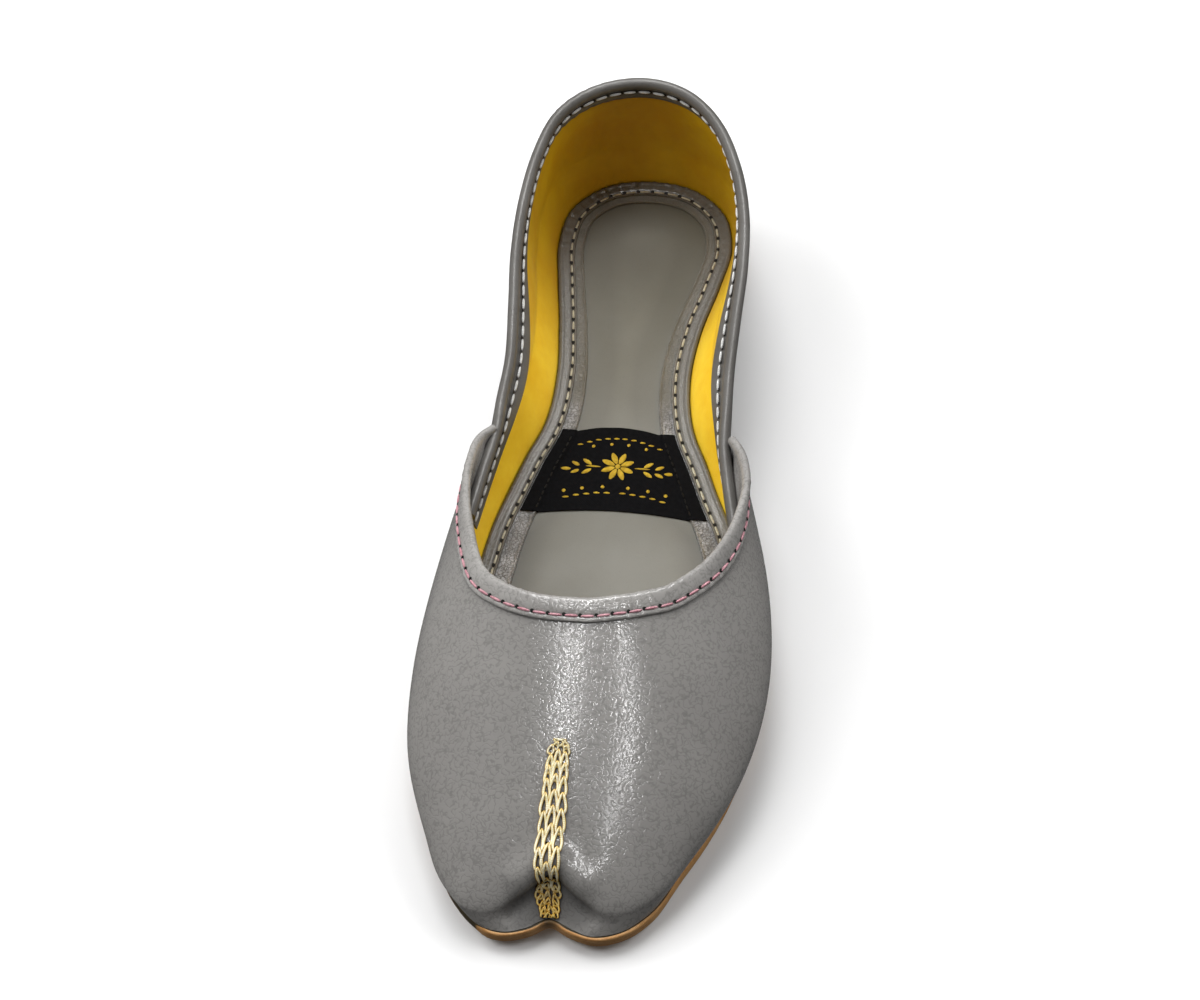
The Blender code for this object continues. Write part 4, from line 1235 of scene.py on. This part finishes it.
def make_chain():
    """Three columns of loops down the middle of the vamp to the notch."""
    knots = np.array([VAMP_FACE.under(*spot) for spot in CHAIN_PLAN])
    line = spline(distances(knots), knots, np.linspace(0, distances(knots)[-1], 160))
    line = even(line, 0.3)
    run = distances(line)

    def rail(at, across):
        return rows_at([min(max(at, 0.0), run[-1])], run, line)[0] + (across, 0.0, 0.0)

    chance = np.random.default_rng(7)
    holes = []
    bm = bmesh.new()
    stretch = run[-1] / CHAIN_LENGTH
    for start, side, length, width, turned in CHAIN_HEAD:
        link(bm, rail, start, side, length, width, 0.66, turned)
    for start, length, half in CHAIN_ROWS:
        small = length < 3.0
        for column in (-1, 0, 1):
            shift = COLUMN_START[column] * (0.5 if small else 1.0)
            wide = half * (1.0 if small else 0.92 if column == -1 else 1.02)
            wide *= 1.0 + chance.uniform(-0.08, 0.08)
            at = start * stretch + shift + chance.uniform(-0.25, 0.25)
            if at + length > run[-1] + 0.9:
                continue
            reach = (length + 0.7) * stretch * (1.0 + chance.uniform(-0.06, 0.06))
            lean = chance.uniform(-0.3, 0.3) - (0.2 if column == 0 else 0.0)
            turned = chance.uniform(-22, 22) if small else 0.0
            link(bm, rail, at, column * half, reach, wide, 0.68 if small else 0.92, turned, lean)
            # A dark bead of painted shade in each loop's wide end.
            spot, out = VAMP_FACE.near(rail(at + reach * 0.78, column * half + lean), 0.03)
            holes.append((spot, np.array((0.0, 1.0, 0.0)), out))
    bmesh.ops.recalc_face_normals(bm, faces=bm.faces)
    add_piece("toe_chain_links", bm, GOLD_THREAD, ["toe_chain"], 180)
    needle_holes("toe_chain_holes", holes, 1.05, ["toe_chain"])


make_chain()


# ------------------------------------------------------------------------ stage
CAMERA_AT = (0.0769, -0.4689, 0.7047)
CAMERA_AIM = (-0.003, 0.0, 0.018)
CAMERA_ROLL = -4.7        # degrees
LENS = 96.0               # mm
SKY = 0.12
HERE = (0, 0, 0)
# Soft lights: place, aim, sizes, power, whether it only shows in gloss, degrees turned.
LIGHTS = {
    "left_box": ((-1.0, 0.35, 0.8), HERE, (0.9, 0.8), 12.0, False, 0.0),
    "right_box": ((0.95, 0.35, 0.85), HERE, (0.9, 0.8), 8.0, False, 0.0),
    "back_box": ((0.0, 1.0, 1.05), HERE, (1.0, 0.45), 9.0, False, 0.0),
    "overhead": ((-0.15, 0.4, 1.25), HERE, (0.55, 0.5), 6.9, False, 0.0),
    "front_fill": ((-0.7, -0.2, 1.1), HERE, (0.7, 0.5), 3.8, False, 0.0),
    "streak_outer": ((-0.085, 0.12, 1.25), (-0.085, 0.12, 0), (0.02, 1.25), 6.4, True, 0.0),
    "streak_inner": ((0.247, -0.32, 1.25), (0.247, -0.32, 0), (0.024, 0.31), 1.0, True, 25.0),
    "streak_toe": ((0.27, -0.575, 1.25), (0.27, -0.575, 0), (0.04, 0.30), 1.15, True, -15.0),
    "crest": ((0.0, 0.62, 1.25), (0, 0, 0.03), (0.6, 0.35), 5.3, True, 0.0),
}


def make_floor():
    bm = bmesh.new()
    bmesh.ops.create_grid(bm, x_segments=1, y_segments=1, size=4.0)
    paper = plain_finish("floor_paper", 0.8, 300.0, (0.79, 0.79, 0.79), (0.81, 0.81, 0.81))
    floor = add_to_scene("floor", mesh_of("floor", bm, paper))
    floor.visible_diffuse = False
    floor.visible_glossy = False


def make_light():
    world = bpy.data.worlds.new("studio")
    bpy.context.scene.world = world
    world.use_nodes = True
    sky = world.node_tree.nodes["Background"]
    sky.inputs["Color"].default_value = (1.0, 1.0, 1.0, 1.0)
    sky.inputs["Strength"].default_value = SKY
    for name, (place_at, aim, sizes, power, gloss_only, turned) in LIGHTS.items():
        light = bpy.data.lights.new(name, "AREA")
        light.shape = "RECTANGLE"
        light.size, light.size_y = sizes
        light.energy = power
        holder = add_to_scene(name, light)
        holder.location = place_at
        holder.visible_glossy = gloss_only
        holder.visible_diffuse = not gloss_only
        way = Vector(aim) - Vector(place_at)
        holder.rotation_euler = way.to_track_quat("-Z", "Y").to_euler()
        holder.rotation_euler.z += math.radians(turned)
    bpy.context.scene.view_settings.view_transform = "Standard"


def make_camera():
    data = bpy.data.cameras.new("camera")
    data.lens = LENS
    data.sensor_width = 36.0
    data.clip_start = 0.05
    camera = add_to_scene("camera", data)
    camera.location = CAMERA_AT
    way = Vector(CAMERA_AIM) - camera.location
    look = way.to_track_quat("-Z", "Y").to_matrix().to_4x4()
    roll = Matrix.Rotation(math.radians(CAMERA_ROLL), 4, "Z")
    camera.matrix_world = Matrix.Translation(camera.location) @ look @ roll
    bpy.context.scene.camera = camera


make_floor()
make_light()
make_camera()
